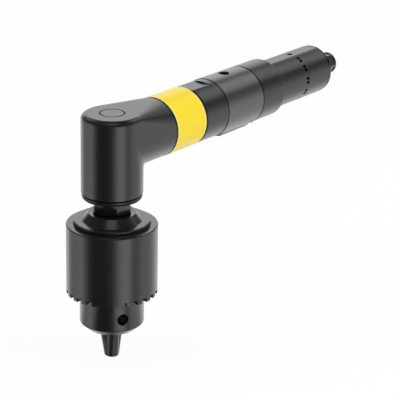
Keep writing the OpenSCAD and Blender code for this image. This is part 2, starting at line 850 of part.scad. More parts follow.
module start_lever() {
  color("dimgray") lift() difference() {
    union() {
      intersection() {
        x_turn() polygon([[lever_in_r, lever_x0], [lever_out_r - lip, lever_x0],
          [lever_out_r, lever_x0 + lip], [lever_out_r, lever_x1 - tail_slope],
          [handle_r - tail_drop, lever_x1], [lever_in_r, lever_x1]]);
        translate([0, -lever_w / 2, -far]) cube([far * 2, lever_w, far]);
      }
      translate([pivot_x, 0, pivot_z]) {
        y_cyl(lug_r, lug_half);
        translate([-lug_r, -lug_half, -lug_drop]) cube([2 * lug_r, 2 * lug_half, lug_drop]);
      }
    }
    translate([pivot_x, 0, pivot_z]) y_cyl(pivot_r + run_gap, far);
  }
}

module lever_pin() {
  color("silver") lift() translate([pivot_x, 0, pivot_z]) y_cyl(pivot_r - 0.005, pivot_half - 0.1);
}

module throttle_valve() {
  color("silver") lift() translate([valve_x, 0, 0]) {
    z_cyl(stem_r, -stem_tip + stem_r / 2, valve_seat_z[1]);
    intersection() {
      translate([0, 0, -stem_tip + stem_r * 1.25]) sphere(r = stem_r * 1.25);
      z_cyl(stem_r, -stem_tip, -stem_tip + stem_r);
    }
    z_cyl(valve_head_r, valve_seat_z[1], valve_seat_z[1] + valve_head_t);
  }
}

module valve_seat() {
  color("goldenrod") lift() translate([valve_x, 0, 0])
    z_tube(seat_opening_r, valve_bore_r - seat_gap, valve_seat_z[0], valve_seat_z[1] - seat_gap);
}

// Compression spring: one closed tube swept along a helix
module valve_spring() {
  rings = 8;
  sides = 6;
  z0 = valve_seat_z[1] + valve_head_t + spring_wire + spring_seat_gap;
  z1 = valve_plug_z[0] - spring_wire - spring_seat_gap;
  count = rings * spring_turns;
  points = [
    for (i = [0:count])
      for (j = [0:sides - 1])
        let (turn = i * 360 / rings, a = j * 360 / sides, r = spring_mean + spring_wire * cos(a))
        [r * cos(turn), r * sin(turn), z0 + (z1 - z0) * i / count + spring_wire * sin(a)]
  ];
  faces = concat(
    [[for (j = [0:sides - 1]) j]],
    [for (i = [0:count - 1])
      for (j = [0:sides - 1])
        let (k = (j + 1) % sides)
        each [[i * sides + j, (i + 1) * sides + j, (i + 1) * sides + k],
          [i * sides + j, (i + 1) * sides + k, i * sides + k]]],
    [[for (j = [sides - 1:-1:0]) count * sides + j]]);
  color("silver") lift() translate([valve_x, 0, 0]) polyhedron(points = points, faces = faces);
}

module valve_plug() {
  color("dimgray") lift() translate([valve_x, 0, 0]) difference() {
    z_cyl(valve_top_r - seat_gap, valve_plug_z[0], valve_plug_z[1]);
    translate([0, 0, valve_plug_z[1] - plug_socket[1]])
      cylinder(d = plug_socket[0] / cos(30), h = far, $fn = 6);
  }
}

// Rear housing and air inlet

module rear_housing() {
  color("dimgray") lift() difference() {
    union() {
      x_cyl(rear_spigot_r, barrel_end - rear_spigot_len, barrel_end + 1);
      x_rimmed(handle_r, barrel_end, seat_end, rim_chamfer);
      x_rimmed(rear_r, seat_end - 1, rear_end, rear_chamfer);
    }
    translate([seat_end, -far / 2, rear_flat]) cube([far * 2, far, far]);
    x_cyl(tube_r[1] + run_gap, 0, far * 3);
    x_cyl(rear_bore_r, barrel_end + rear_wall, rear_bore_end);
    x_cyl(bush_r, rear_bore_end - 1, far * 3);
    for (a = exhaust_angles)
      rotate([a, 0, 0]) translate([0, exhaust_ring_r, 0])
        x_cyl(exhaust_r, barrel_end - 1, barrel_end + rear_wall + 1);
    // Exhaust holes in pairs on both sides
    for (side = [0, 1]) mirror([0, side, 0])
      for (a = vent_angles, half = [-0.5, 0.5])
        translate([vent_x, 0, 0]) rotate([180 - a - half * vent_pair, 0, 0])
          rotate([-90, 0, 0]) z_cyl(vent_r, rear_bore_r - 1, rear_r + 1);
    translate([flat_hole_x, 0, 0]) z_cyl(flat_hole_r, rear_bore_r - 1, rear_r + 1);
  }
}

module air_tube() {
  color("silver") lift() x_tube(tube_r[0], tube_r[1], tube_seat_x + 0.1, tube_end);
}

module silencer() {
  color("wheat") lift()
    x_tube(tube_r[1] + air_gap, silencer_r, silencer_start, bush_start - 0.1);
}

module inlet_bush() {
  color("gray") lift() difference() {
    union() {
      x_cyl(bush_r - seat_gap, bush_start, rear_end);
      x_rimmed(bush_collar_r, rear_end, rear_end + bush_collar_t, rim_chamfer);
      x_cyl(bush_neck_r, rear_end + bush_collar_t, hex_start);
      x_cyl(bush_flange_r, hex_start, hex_start + flange_lip_t);
      x_hex(bush_hex, hex_start + flange_lip_t, tool_end - flange_t);
      x_rimmed(bush_flange_r, tool_end - flange_t, tool_end, rim_chamfer);
    }
    x_cyl(tube_r[1] + seat_gap, 0, tube_end + 0.1);
    x_cyl(bush_bore_r, 0, far * 3);
    x_cyl(strainer_r + seat_gap, tool_end - inlet_thread_len - strainer_t, far * 3);
    x_cyl(inlet_thread_r, tool_end - inlet_thread_len, far * 3);
    x_tube(bush_r - 2 * seal_t - 2 * seat_gap, far, seal_x - seal_t - run_gap, seal_x + seal_t + run_gap);
  }
}

module inlet_strainer() {
  color("silver") lift() difference() {
    x_cyl(strainer_r, tool_end - inlet_thread_len - strainer_t, tool_end - inlet_thread_len);
    for (i = [0:5])
      rotate([i * 60, 0, 0]) translate([0, strainer_ring_r, 0]) x_cyl(strainer_hole_r, 0, far * 3);
    x_cyl(strainer_hole_r, 0, far * 3);
  }
}

module inlet_seal() {
  color("black") lift() on_x(seal_x) rotate_extrude()
    translate([bush_r - seat_gap - seal_t, 0]) circle(r = seal_t);
}

// Chuck

// Fluted by the three jaw bores, with key holes, nut groove and bit bore
module chuck_body() {
  color("dimgray") lift() difference() {
    rotate_extrude() union() {
      polygon([[0, -collar_top], [boss_r[1], -collar_top], [boss_r[0], -chuck_top], [0, -chuck_top]]);
      translate([0, -sleeve_top - lip_t])
        square([collar_r, sleeve_top + lip_t - collar_top - collar_edge]);
      translate([0, -collar_top - collar_edge - eps])
        square([collar_r - collar_edge, collar_edge + eps]);
      translate([collar_r - collar_edge, -collar_top - collar_edge]) circle(r = collar_edge);
      translate([0, -body_bottom + body_edge])
        square([body_r, body_bottom - body_edge - sleeve_top - 1]);
      translate([0, -body_bottom]) square([body_r - body_edge, body_edge + 1]);
      translate([body_r - body_edge, -body_bottom + body_edge]) circle(r = body_edge);
    }
    z_cyl(spindle_nose_r + seat_gap, -thread_z - thread_relief, 0);
    z_cyl(bit_bore_r, -far * 2, -bit_bore_top);
    for (a = jaw_angles) intersection() {
      jaw_shaft(a, jaw_r + run_gap);
      z_cyl(far, -body_bottom - 1, -jaw_bore_top);
    }
    // Groove that traps the split nut
    rotate_extrude() polygon([
      [nut_in(nut_z + nut_play) - groove_gap, -nut_z - nut_play],
      [far, -nut_z - nut_play],
      [far, -nut_z + nut_h + nut_play],
      [nut_in(nut_z - nut_h - nut_play) - groove_gap, -nut_z + nut_h + nut_play]]);
    for (a = key_hole_angles) rotate([0, 0, a]) translate([0, 0, -key_hole_z])
      x_cyl(key_hole_d / 2, key_hole_floor, far);
  }
}

// Inner radius of the nut cone at a depth below the handle axis
function nut_in(depth) =
  jaw_offset + tan(jaw_tilt) * (tip - depth) + jaw_r / cos(jaw_tilt) + run_gap;

module jaw_shaft(a, r) {
  rotate([0, 0, a]) translate([jaw_offset, 0, -tip]) rotate([0, jaw_tilt, 0])
    translate([0, 0, -far / 6]) cylinder(r = r, h = far * 1.5);
}

module chuck_sleeve() {
  color("dimgray") lift() difference() {
    rotate_extrude() difference() {
      polygon([[0, -sleeve_bottom], [sleeve_r - sleeve_bottom_chamfer, -sleeve_bottom],
        [sleeve_r, -sleeve_bottom + sleeve_bottom_chamfer],
        [sleeve_r, -sleeve_top - sleeve_top_chamfer],
        [sleeve_r - sleeve_top_chamfer, -sleeve_top], [0, -sleeve_top]]);
      translate([0, -sleeve_bottom - 1]) square([body_r + lip_gap, far]);
      translate([0, -nut_z]) square([cavity_r, nut_z - sleeve_top - lip_t]);
      translate([0, -sleeve_top - lip_t - 1]) square([collar_r + collar_gap, far]);
    }
    for (i = [0:key_teeth - 1])
      rotate([0, 0, key_tooth_turn + i * 360 / key_teeth])
        translate([key_tooth_in, 0, -sleeve_bottom])
        rotate([0, -atan(key_tooth_h / (sleeve_r - key_tooth_in)), 0])
        translate([0, -key_tooth_w / 2, -far]) cube([far, key_tooth_w, far]);
  }
}

module chuck_nut() {
  color("goldenrod") lift() difference() {
    rotate_extrude() polygon([
      [nut_in(nut_z), -nut_z + seat_gap],
      [cavity_r - seat_gap, -nut_z + seat_gap],
      [cavity_r - seat_gap, -nut_z + nut_h],
      [nut_in(nut_z - nut_h), -nut_z + nut_h]]);
    translate([-far, -nut_split / 2, -far * 2]) cube([far * 2, nut_split, far * 2]);
  }
}

module chuck_jaw(a) {
  color("gray") lift() intersection() {
    union() {
      intersection() {
        jaw_shaft(a, jaw_r);
        z_cyl(far, -jaw_join, -tip + jaw_len);
      }
      intersection() {
        rotate([0, 0, a]) translate([nose_offset, 0, -tip]) rotate([0, nose_tilt, 0])
          translate([0, 0, -far / 6]) cylinder(r = nose_r, h = far);
        z_cyl(far, -tip, -jaw_join + eps);
      }
    }
    rotate([0, 0, a]) translate([jaw_split, 0, -tip - 1]) linear_extrude(height = far)
      polygon([[0, 0], [far * cos(60), -far * sin(60)], [far * 2, 0], [far * cos(60), far * sin(60)]]);
  }
}

module chuck_jaw_1() { chuck_jaw(jaw_angles[0]); }
module chuck_jaw_2() { chuck_jaw(jaw_angles[1]); }
module chuck_jaw_3() { chuck_jaw(jaw_angles[2]); }

angle_head();
head_plug();
head_retaining_ring();
lower_bearing_outer();
lower_bearing_inner();
lower_bearing_balls();
upper_bearing_outer();
upper_bearing_inner();
upper_bearing_balls();
spindle();
bevel_gear();
gear_key();
bevel_pinion();
pinion_spacer();
pinion_nut();
pinion_bearing_outer();
pinion_bearing_inner();
pinion_bearing_balls();
coupling_ring();
gear_case();
planet_carrier();
planet_pins();
planet_gear_1();
planet_gear_2();
planet_gear_3();
carrier_bearing_outer();
carrier_bearing_inner();
carrier_bearing_balls();
sun_pinion();
front_end_plate();
rear_end_plate();
motor_cylinder();
rotor();
rotor_vanes();
rotor_bearing_outer();
rotor_bearing_inner();
rotor_bearing_balls();
motor_barrel();
start_lever();
lever_pin();
throttle_valve();
valve_seat();
valve_spring();
valve_plug();
rear_housing();
air_tube();
silencer();
inlet_bush();
inlet_strainer();
inlet_seal();
chuck_body();
chuck_sleeve();
chuck_nut();
chuck_jaw_1();
chuck_jaw_2();
chuck_jaw_3();
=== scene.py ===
"""Looks of an air powered right angle drill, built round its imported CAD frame.

Lengths in this file are millimetres, measured from the point where the chuck
axis crosses the handle axis: Z runs up the chuck axis and X along the handle.
They become metres of the record's frame only where a mesh is made.
"""

import json
import logging
import math
from dataclasses import dataclass, field
from enum import Enum
from typing import Callable, Sequence

import bmesh
import bpy
import numpy as np
from mathutils import Matrix, Vector
from mathutils.bvhtree import BVHTree
from mathutils.interpolate import poly_3d_calc


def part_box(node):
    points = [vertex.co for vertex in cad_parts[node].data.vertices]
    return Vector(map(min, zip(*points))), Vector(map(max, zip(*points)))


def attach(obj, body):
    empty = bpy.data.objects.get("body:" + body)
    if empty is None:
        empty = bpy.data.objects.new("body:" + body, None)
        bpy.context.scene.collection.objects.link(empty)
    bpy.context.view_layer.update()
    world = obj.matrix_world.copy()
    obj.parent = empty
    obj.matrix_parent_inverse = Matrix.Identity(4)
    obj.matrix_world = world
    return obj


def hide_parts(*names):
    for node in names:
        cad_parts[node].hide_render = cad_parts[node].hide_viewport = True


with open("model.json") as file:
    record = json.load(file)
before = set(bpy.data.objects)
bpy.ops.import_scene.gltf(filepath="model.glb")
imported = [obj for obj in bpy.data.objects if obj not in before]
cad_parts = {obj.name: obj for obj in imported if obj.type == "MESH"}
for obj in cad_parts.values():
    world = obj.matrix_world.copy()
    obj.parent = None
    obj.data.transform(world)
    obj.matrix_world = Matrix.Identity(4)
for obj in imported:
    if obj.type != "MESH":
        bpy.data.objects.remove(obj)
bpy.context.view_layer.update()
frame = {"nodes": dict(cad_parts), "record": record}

LOG = logging.getLogger("drill")
MM = 0.001
AXIS_Z = sum(corner.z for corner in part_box("coupling_ring")) / 2 / MM
FAR = 60.0
TURN_STEPS = 160
BORE_STEPS = 96
CORNER_STEPS = 5
SKIN_STEP = 0.45

# Sizes inside the tool that more than one piece shares
SPIGOT_R = 12.6
SOCKET_R = 12.62
MOTOR_R = 11.05
TEETH_START = 41.4
EXHAUST_R = 1.05
EXHAUST_OUT = 9.9
EXHAUST_TURNS = (30, 55, 125, 150)
LOWER_SEAT = -21.4
LOWER_REST = -15.4
NECK_LOW = -33.7

Piece = bpy.types.Object
Tree = bpy.types.NodeTree
Node = bpy.types.Node
Socket = bpy.types.NodeSocket
Corner = tuple[float, ...]
Point = tuple[float, float, float]
Field = Callable[[np.ndarray], np.ndarray]


def edge(node: str, axis: int, high: bool = True) -> float:
    """Read from the frame where a CAD node ends along one axis.

    Args:
        node: Name of the CAD node.
        axis: 0 for X, 1 for Y, 2 for Z.
        high: Whether its high end is wanted, not its low end.

    Returns:
        The place in millimetres from the crossing of the axes.
    """
    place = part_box(node)[1 if high else 0][axis] / MM
    return place - AXIS_Z if axis == 2 else place


def from_cad(node: str, axis: int, high: bool = True, shift: float = 0.0) -> float:
    """Make a dataclass field that starts at an edge of a CAD node, moved by a shift."""
    return field(default_factory=lambda: edge(node, axis, high) + shift)


class Axis(Enum):
    """The two lines that the tool's turned pieces are made round."""

    CHUCK = "chuck"
    HANDLE = "handle"

    @property
    def way(self) -> Vector:
        """Direction of the axis."""
        return Vector((0.0, 0.0, 1.0)) if self is Axis.CHUCK else Vector((1.0, 0.0, 0.0))

    def place(self, radius: float, station: float, angle: float) -> Point:
        """Give the point at a radius, station and angle round this axis.

        Args:
            radius: Distance from the axis.
            station: Place along the axis.
            angle: Turn in radians, from +X round Z, or from +Y towards +Z round X.

        Returns:
            The point in millimetres.
        """
        u, v = radius * math.cos(angle), radius * math.sin(angle)
        return (u, v, station) if self is Axis.CHUCK else (station, u, v)


# Mesh helpers


def new_piece(name: str, points: Sequence[Sequence[float]], faces: Sequence[Sequence[int]]) -> Piece:
    """Make a mesh object from points in millimetres.

    Args:
        name: Name of the object and its mesh.
        points: Corner points.
        faces: Corner numbers of each face.

    Returns:
        The linked object, smooth shaded, with faces turned outwards.
    """
    mesh = bpy.data.meshes.new(name)
    lifted = [(x * MM, y * MM, (z + AXIS_Z) * MM) for x, y, z in points]
    mesh.from_pydata(lifted, [], [list(f) for f in faces])
    bm = bmesh.new()
    bm.from_mesh(mesh)
    bmesh.ops.remove_doubles(bm, verts=bm.verts, dist=1e-7)
    bmesh.ops.recalc_face_normals(bm, faces=bm.faces)
    for face in bm.faces:
        face.smooth = True
    bm.to_mesh(mesh)
    bm.free()
    return linked(name, mesh)


def linked(name: str, data: bpy.types.ID) -> Piece:
    """Put a mesh, lamp or lens into the scene.

    Args:
        name: Name of the new object.
        data: What it shows.

    Returns:
        The new object.
    """
    obj = bpy.data.objects.new(name, data)
    bpy.context.scene.collection.objects.link(obj)
    return obj


def rounded_profile(corners: Sequence[Corner]) -> list[tuple[float, float]]:
    """Round the corners of a turned profile and add support points beside them.

    Args:
        corners: Radius and station of each corner in order, and its rounding if it has one.

    Returns:
        The fine profile as (radius, station) points.
    """
    count = len(corners)
    out: list[tuple[float, float]] = []
    for i, (r, s, *rounding) in enumerate(corners):
        here = Vector((r, s))
        if not rounding:
            out.append((r, s))
            continue
        before = Vector(corners[i - 1][:2]) - here
        after = Vector(corners[(i + 1) % count][:2]) - here
        half = before.angle(after) / 2
        cut = min(rounding[0] / math.tan(half), 0.48 * before.length, 0.48 * after.length)
        radius = cut * math.tan(half)
        a, b = before.normalized(), after.normalized()
        centre = here + (a + b).normalized() * (radius / math.sin(half))
        start, end = here + a * cut, here + b * cut
        spare = min(0.12, (before.length / 2 - cut) * 0.8)
        if spare > 0.02:
            out.append(tuple(start + a * spare))
        u, v = start - centre, end - centre
        turn = u.angle(v)
        for k in range(CORNER_STEPS + 1):
            t = k / CORNER_STEPS
            w = (math.sin((1 - t) * turn) * u + math.sin(t * turn) * v) / math.sin(turn)
            out.append(tuple(centre + w))
        spare = min(0.12, (after.length / 2 - cut) * 0.8)
        if spare > 0.02:
            out.append(tuple(end + b * spare))
    return out


def turned(name: str, corners: Sequence[Corner], axis: Axis, steps: int = TURN_STEPS) -> Piece:
    """Turn a profile into a solid of revolution, or into a ring if it starts off the axis.

    Args:
        name: Name of the new object.
        corners: Radius and station of each profile corner, and its rounding if it has one.
        axis: The axis it is turned round.
        steps: Number of faces round the axis.

    Returns:
        The new object.
    """
    points: list[Point] = []
    rows: list[list[int]] = []
    for r, s in rounded_profile(corners):
        first = len(points)
        if r < 1e-6:
            points.append(axis.place(0, s, 0))
            rows.append([first] * steps)
        else:
            points.extend(axis.place(r, s, 2 * math.pi * k / steps) for k in range(steps))
            rows.append(list(range(first, first + steps)))
    faces: list[list[int]] = []
    is_ring = corners[0][0] > 0
    for i in range(len(rows) if is_ring else len(rows) - 1):
        low, high = rows[i], rows[(i + 1) % len(rows)]
        for k in range(steps):
            n = (k + 1) % steps
            face = list(dict.fromkeys([low[k], low[n], high[n], high[k]]))
            if len(face) > 2:
                faces.append(face)
    return new_piece(name, points, faces)


def drum(name: str, low: float, high: float, steps: int = TURN_STEPS) -> Piece:
    """Make a wide cylinder on the chuck axis, for use as a cutter.

    Args:
        name: Name of the new object.
        low: Height of its lower end.
        high: Height of its upper end.
        steps: Number of faces round it.

    Returns:
        The new object.
    """
    return turned(name, [(0, low), (FAR, low), (FAR, high), (0, high)], Axis.CHUCK, steps=steps)


def peg(name: str, radius: float, start: Sequence[float], end: Sequence[float], flare: float = 0.0,
        steps: int = 48, point: float = 0.0) -> Piece:
    """Make a cylinder between two points, with an optional flare at its far end.

    Args:
        name: Name of the new object.
        radius: Radius of the cylinder.
        start: Middle of its first end.
        end: Middle of its far end, where the flare is widest.
        flare: How much wider the last stretch opens at the surface it cuts.
        steps: Number of faces round it.
        point: How far the first end comes to a point, like a drill.

    Returns:
        The new object.
    """
    start, end = Vector(start), Vector(end)
    way = (end - start).normalized()
    side = way.orthogonal().normalized()
    other = way.cross(side)
    length = (end - start).length
    rings = [(radius, 0.0), (radius, length)]
    if flare > 0:
        rings = [(radius, 0.0), (radius, length - 2 * flare), (radius + 2 * flare, length)]
    points = [tuple(start - way * point)]
    for r, along in rings:
        for k in range(steps):
            a = 2 * math.pi * k / steps
            points.append(tuple(start + way * along + (side * math.cos(a) + other * math.sin(a)) * r))
    points.append(tuple(end))
    last = len(points) - 1
    faces: list[list[int]] = []
    for k in range(steps):
        n = (k + 1) % steps
        faces.append([0, 1 + n, 1 + k])
        for j in range(len(rings) - 1):
            a = 1 + j * steps
            faces.append([a + k, a + n, a + steps + n, a + steps + k])
        top = last - steps
        faces.append([last, top + k, top + n])
    return new_piece(name, points, faces)


def cross_peg(name: str, radius: float, x: float, z: float, half: float, steps: int = 48) -> Piece:
    """Make a cylinder across the tool that reaches half its length to each side."""
    return peg(name, radius, (x, -half, z), (x, half, z), steps=steps)


def block(name: str, low: Sequence[float], high: Sequence[float], turn: Matrix | None = None) -> Piece:
    """Make a box, for use as a cutter.

    Args:
        name: Name of the new object.
        low: Its lowest corner.
        high: Its highest corner.
        turn: Matrix that its corners are moved by, if any.

    Returns:
        The new object.
    """
    corners = [Vector((x, y, z)) for x in (low[0], high[0]) for y in (low[1], high[1]) for z in (low[2], high[2])]
    if turn is not None:
        corners = [turn @ c for c in corners]
    faces = [[0, 1, 3, 2], [4, 6, 7, 5], [0, 4, 5, 1], [2, 3, 7, 6], [0, 2, 6, 4], [1, 5, 7, 3]]
    return new_piece(name, [tuple(c) for c in corners], faces)


def lofted(name: str, rows: Sequence[Sequence[Point]]) -> Piece:
    """Make a bar through closed outlines that have the same number of points.

    Args:
        name: Name of the new object.
        rows: The outlines in order. The first and the last are its ends.

    Returns:
        The new object.
    """
    count = len(rows[0])
    last = (len(rows) - 1) * count
    faces = [list(range(count)), [last + k for k in range(count)]]
    for first in range(0, last, count):
        for k in range(count):
            a, b = first + k, first + (k + 1) % count
            faces.append([a, b, b + count, a + count])
    return new_piece(name, [point for row in rows for point in row], faces)


def arc_bar(name: str, profile: Sequence[tuple[float, float]], width: float, steps: int = 24) -> Piece:
    """Make the stretch of a turned ring, under the handle, that lies between two upright planes.

    Args:
        name: Name of the new object.
        profile: Closed profile as (radius from the handle axis, station) points.
        width: Distance between the two planes.
        steps: Number of stretches across the width.

    Returns:
        The new object.
    """
    across = [width * (k / steps - 0.5) for k in range(steps + 1)]
    return lofted(name, [[(x, y, -math.sqrt(r * r - y * y)) for r, x in profile] for y in across])


def applied(obj: Piece) -> Piece:
    """Turn an object's modifiers into plain mesh and take them off.

    Args:
        obj: The object.

    Returns:
        The same object.
    """
    graph = bpy.context.evaluated_depsgraph_get()
    mesh = bpy.data.meshes.new_from_object(obj.evaluated_get(graph))
    obj.modifiers.clear()
    old = obj.data
    obj.data = mesh
    bpy.data.meshes.remove(old)
    return obj


def combine(obj: Piece, other: Piece, operation: str = "DIFFERENCE") -> None:
    """Join, cut or intersect a piece with another closed shape, which is then deleted.

    Args:
        obj: The piece that is changed.
        other: The other shape.
        operation: UNION or DIFFERENCE.
    """
    made = obj.modifiers.new("combine", "BOOLEAN")
    made.operation = operation
    made.solver = "EXACT"
    made.object = other
    applied(obj)
    bpy.data.objects.remove(other)
    close_slits(obj)


def close_slits(obj: Piece) -> None:
    """Fill the hair-thin triangles that a cut can leave open.

    Args:
        obj: The piece that was cut.
    """
    bm = bmesh.new()
    bm.from_mesh(obj.data)
    rims = [e for e in bm.edges if e.is_boundary]
    if rims:
        bmesh.ops.holes_fill(bm, edges=rims, sides=4)
        bm.to_mesh(obj.data)
    bm.free()


def mark(name: str) -> bpy.types.Material:
    """Find or make the plain material that marks faces while a piece is cut."""
    return bpy.data.materials.get(name) or bpy.data.materials.new(name)


def carve(obj: Piece, cutters: Sequence[Piece]) -> Piece:
    """Cut shapes out of a piece, with crisp cut edges and the old shading beside them.

    Args:
        obj: The piece to cut.
        cutters: Closed shapes that are taken out of it. The copies in one shape don't overlap.

    Returns:
        The same piece.
    """
    uncut = obj.data.copy()
    for item in (obj, *cutters):
        item.data.materials.clear()
        for name in ("kept_face", "cut_face"):
            item.data.materials.append(mark(name))
    for cutter in cutters:
        cutter.data.polygons.foreach_set("material_index", [1] * len(cutter.data.polygons))
        combine(obj, cutter)
    crisp(obj)
    keep_shading(obj, uncut)
    bpy.data.meshes.remove(uncut)
    return obj


def keep_shading(obj: Piece, uncut: bpy.types.Mesh) -> None:
    """Give the faces that a cut has left alone the normals that they had before it.

    Args:
        obj: The cut piece.
        uncut: Its mesh before the cut.
    """
    mesh = obj.data
    places = [v.co.copy() for v in uncut.vertices]
    tree = BVHTree.FromPolygons(places, [tuple(p.vertices) for p in uncut.polygons])
    old = [c.vector.copy() for c in uncut.corner_normals]
    normals = [c.vector.copy() for c in mesh.corner_normals]
    for face in mesh.polygons:
        centre = face.center
        for loop in face.loop_indices:
            here = mesh.vertices[mesh.loops[loop].vertex_index].co
            _, facing, index, gap = tree.find_nearest(here.lerp(centre, 0.05))
            if index is None or gap > 3e-6 or facing.dot(face.normal) < 0.99:
                continue
            source = uncut.polygons[index]
            weights = poly_3d_calc([places[v] for v in source.vertices], here)
            mixed = Vector((0.0, 0.0, 0.0))
            for weight, corner in zip(weights, source.loop_indices):
                mixed += weight * old[corner]
            if mixed.length > 0.5:
                normals[loop] = mixed.normalized()
    mesh.normals_split_custom_set([tuple(n) for n in normals])


def repeat_group() -> Tree:
    """Build the Geometry Nodes group that repeats a shape round an axis.

    Returns:
        A group whose carrier mesh has one point for each copy, with its angle
        in the attribute turn, and inputs Shape, Pivot, Way and Paint.
    """
    tree, start, end = new_group(
        "repeat round an axis", "GeometryNodeTree",
        {"Carrier": "Geometry", "Shape": "Object", "Pivot": "Vector", "Way": "Vector", "Paint": "Material"},
        {"Copies": "Geometry"})
    given = start.outputs
    shape = node_in(tree, "GeometryNodeObjectInfo", {"Object": given["Shape"]}, transform_space="ORIGINAL")
    back = node_in(tree, "ShaderNodeVectorMath", {0: given["Pivot"], "Scale": -1.0}, operation="SCALE")
    centred = node_in(tree, "GeometryNodeTransform", {"Geometry": shape.outputs["Geometry"], "Translation": back})
    turn = node_in(tree, "GeometryNodeInputNamedAttribute", {"Name": "turn"}, data_type="FLOAT")
    euler = node_in(tree, "ShaderNodeVectorMath", {0: given["Way"], "Scale": turn.outputs["Attribute"]},
                    operation="SCALE")
    copies = node_in(tree, "GeometryNodeInstanceOnPoints",
                     {"Points": given["Carrier"], "Instance": centred, "Rotation": euler})
    solid = node_in(tree, "GeometryNodeRealizeInstances", {"Geometry": copies})
    wire(tree, end, {"Copies": node_in(tree, "GeometryNodeSetMaterial",
                                       {"Geometry": solid, "Material": given["Paint"]})})
    return tree


def around(name: str, shape: Piece, angles: Sequence[float], axis: Axis) -> Piece:
    """Repeat a shape round one of the tool's axes, and delete the first one.

    Args:
        name: Name of the new object.
        shape: The shape, where the copy at angle 0 stands.
        angles: Angle of each copy, in degrees.
        axis: The axis that the copies stand round.

    Returns:
        All copies as one object.
    """
    tree = bpy.data.node_groups.get("repeat round an axis") or repeat_group()
    pivot = Vector((0.0, 0.0, AXIS_Z * MM))
    mesh = bpy.data.meshes.new(name)
    mesh.from_pydata([tuple(pivot)] * len(angles), [], [])
    turn = mesh.attributes.new("turn", "FLOAT", "POINT")
    turn.data.foreach_set("value", [math.radians(a) for a in angles])
    obj = linked(name, mesh)
    made = obj.modifiers.new("repeat", "NODES")
    made.node_group = tree
    values = {"Shape": shape, "Pivot": pivot, "Way": axis.way, "Paint": mark("cut_face")}
    for socket in tree.interface.items_tree:
        if socket.name in values:
            made[socket.identifier] = values[socket.name]
    obj.update_tag()
    applied(obj)
    bpy.data.objects.remove(shape)
    return obj


def soften(obj: Piece, width: float) -> Piece:
    """Round a piece's sharp edges with a small bevel.

    Args:
        obj: The piece.
        width: Width of the bevel.

    Returns:
        The same piece.
    """
    made = obj.modifiers.new("soften", "BEVEL")
    made.width = width * MM
    made.segments = 3
    made.limit_method = "ANGLE"
    made.angle_limit = math.radians(40.0)
    made.harden_normals = True
    return applied(obj)


def crisp(obj: Piece) -> Piece:
    """Mark edges sharp where a piece folds or where a cut meets its surface.

    Args:
        obj: The piece. Its material marks are taken off.

    Returns:
        The same piece.
    """
    bm = bmesh.new()
    bm.from_mesh(obj.data)
    limit = math.radians(30.0)
    for line in bm.edges:
        pair = line.link_faces
        if len(pair) == 2:
            cut = pair[0].material_index != pair[1].material_index
            line.smooth = not (cut or line.calc_face_angle(0.0) > limit)
    for face in bm.faces:
        face.smooth = True
        face.material_index = 0
    bm.to_mesh(obj.data)
    bm.free()
    obj.data.materials.clear()
    return obj


def skin_of(shape: Field, name: str, low: Sequence[float], high: Sequence[float], step: float) -> Piece:
    """Mesh the surface where a distance field is zero.

    Args:
        shape: Gives a distance for an array of points, negative inside.
        name: Name of the new object.
        low: Lowest corner of the grid.
        high: Highest corner of the grid.
        step: Grid spacing.

    Returns:
        The new object, its corners drawn onto the exact surface.
    """
    sides = [np.arange(a, b + step, step) for a, b in zip(low, high)]
    grid = np.stack(np.meshgrid(*sides, indexing="ij"), axis=-1)
    value = shape(grid.reshape(-1, 3)).reshape(grid.shape[:3])
    inside = value < 0
    cells = tuple(n - 1 for n in value.shape)
    total, hits = np.zeros(cells + (3,)), np.zeros(cells)
    for axis in range(3):
        u, v = [k for k in range(3) if k != axis]
        for du, dv in ((0, 0), (0, 1), (1, 0), (1, 1)):
            first = [slice(0, n) for n in cells]
            first[u] = slice(du, du + cells[u])
            first[v] = slice(dv, dv + cells[v])
            second = list(first)
            second[axis] = slice(1, cells[axis] + 1)
            here, there = tuple(first), tuple(second)
            a, b = value[here], value[there]
            crossed = (a < 0) != (b < 0)
            t = np.where(crossed, a / np.where(crossed, a - b, 1.0), 0.0)
            point = grid[here] + t[..., None] * (grid[there] - grid[here])
            total += np.where(crossed[..., None], point, 0.0)
            hits += crossed
    used = hits > 0
    number = -np.ones(hits.shape, int)
    number[used] = np.arange(used.sum())
    points = total[used] / hits[used][:, None]
    for _ in range(4):
        slope = field_slope(shape, points)
        reach = shape(points)[:, None] * slope / np.maximum((slope ** 2).sum(1), 1e-9)[:, None]
        points = points - np.clip(reach, -step / 2, step / 2)
    faces: list[np.ndarray] = []
    for axis in range(3):
        u, v = [k for k in range(3) if k != axis]
        head, tail = [slice(None)] * 3, [slice(None)] * 3
        head[axis], tail[axis] = slice(0, -1), slice(1, None)
        where = np.argwhere(inside[tuple(head)] != inside[tuple(tail)])
        where = where[(where[:, u] > 0) & (where[:, v] > 0)
                      & (where[:, u] < inside.shape[u] - 1) & (where[:, v] < inside.shape[v] - 1)]
        quad = []
        for du, dv in ((-1, -1), (0, -1), (0, 0), (-1, 0)):
            cell = where.copy()
            cell[:, u] += du
            cell[:, v] += dv
            quad.append(number[tuple(cell.T)])
        faces.append(np.stack(quad, axis=1))
    return new_piece(name, points.tolist(), np.concatenate(faces).tolist())


def field_slope(shape: Field, points: np.ndarray) -> np.ndarray:
    """Work out the direction in which a distance field rises at each point.

    Args:
        shape: The distance field.
        points: Array of points.

    Returns:
        One slope for each point.
    """
    reach = 0.01
    slope = np.zeros_like(points)
    for k in range(3):
        push = np.zeros(3)
        push[k] = reach
        slope[:, k] = (shape(points + push) - shape(points - push)) / (2 * reach)
    return slope


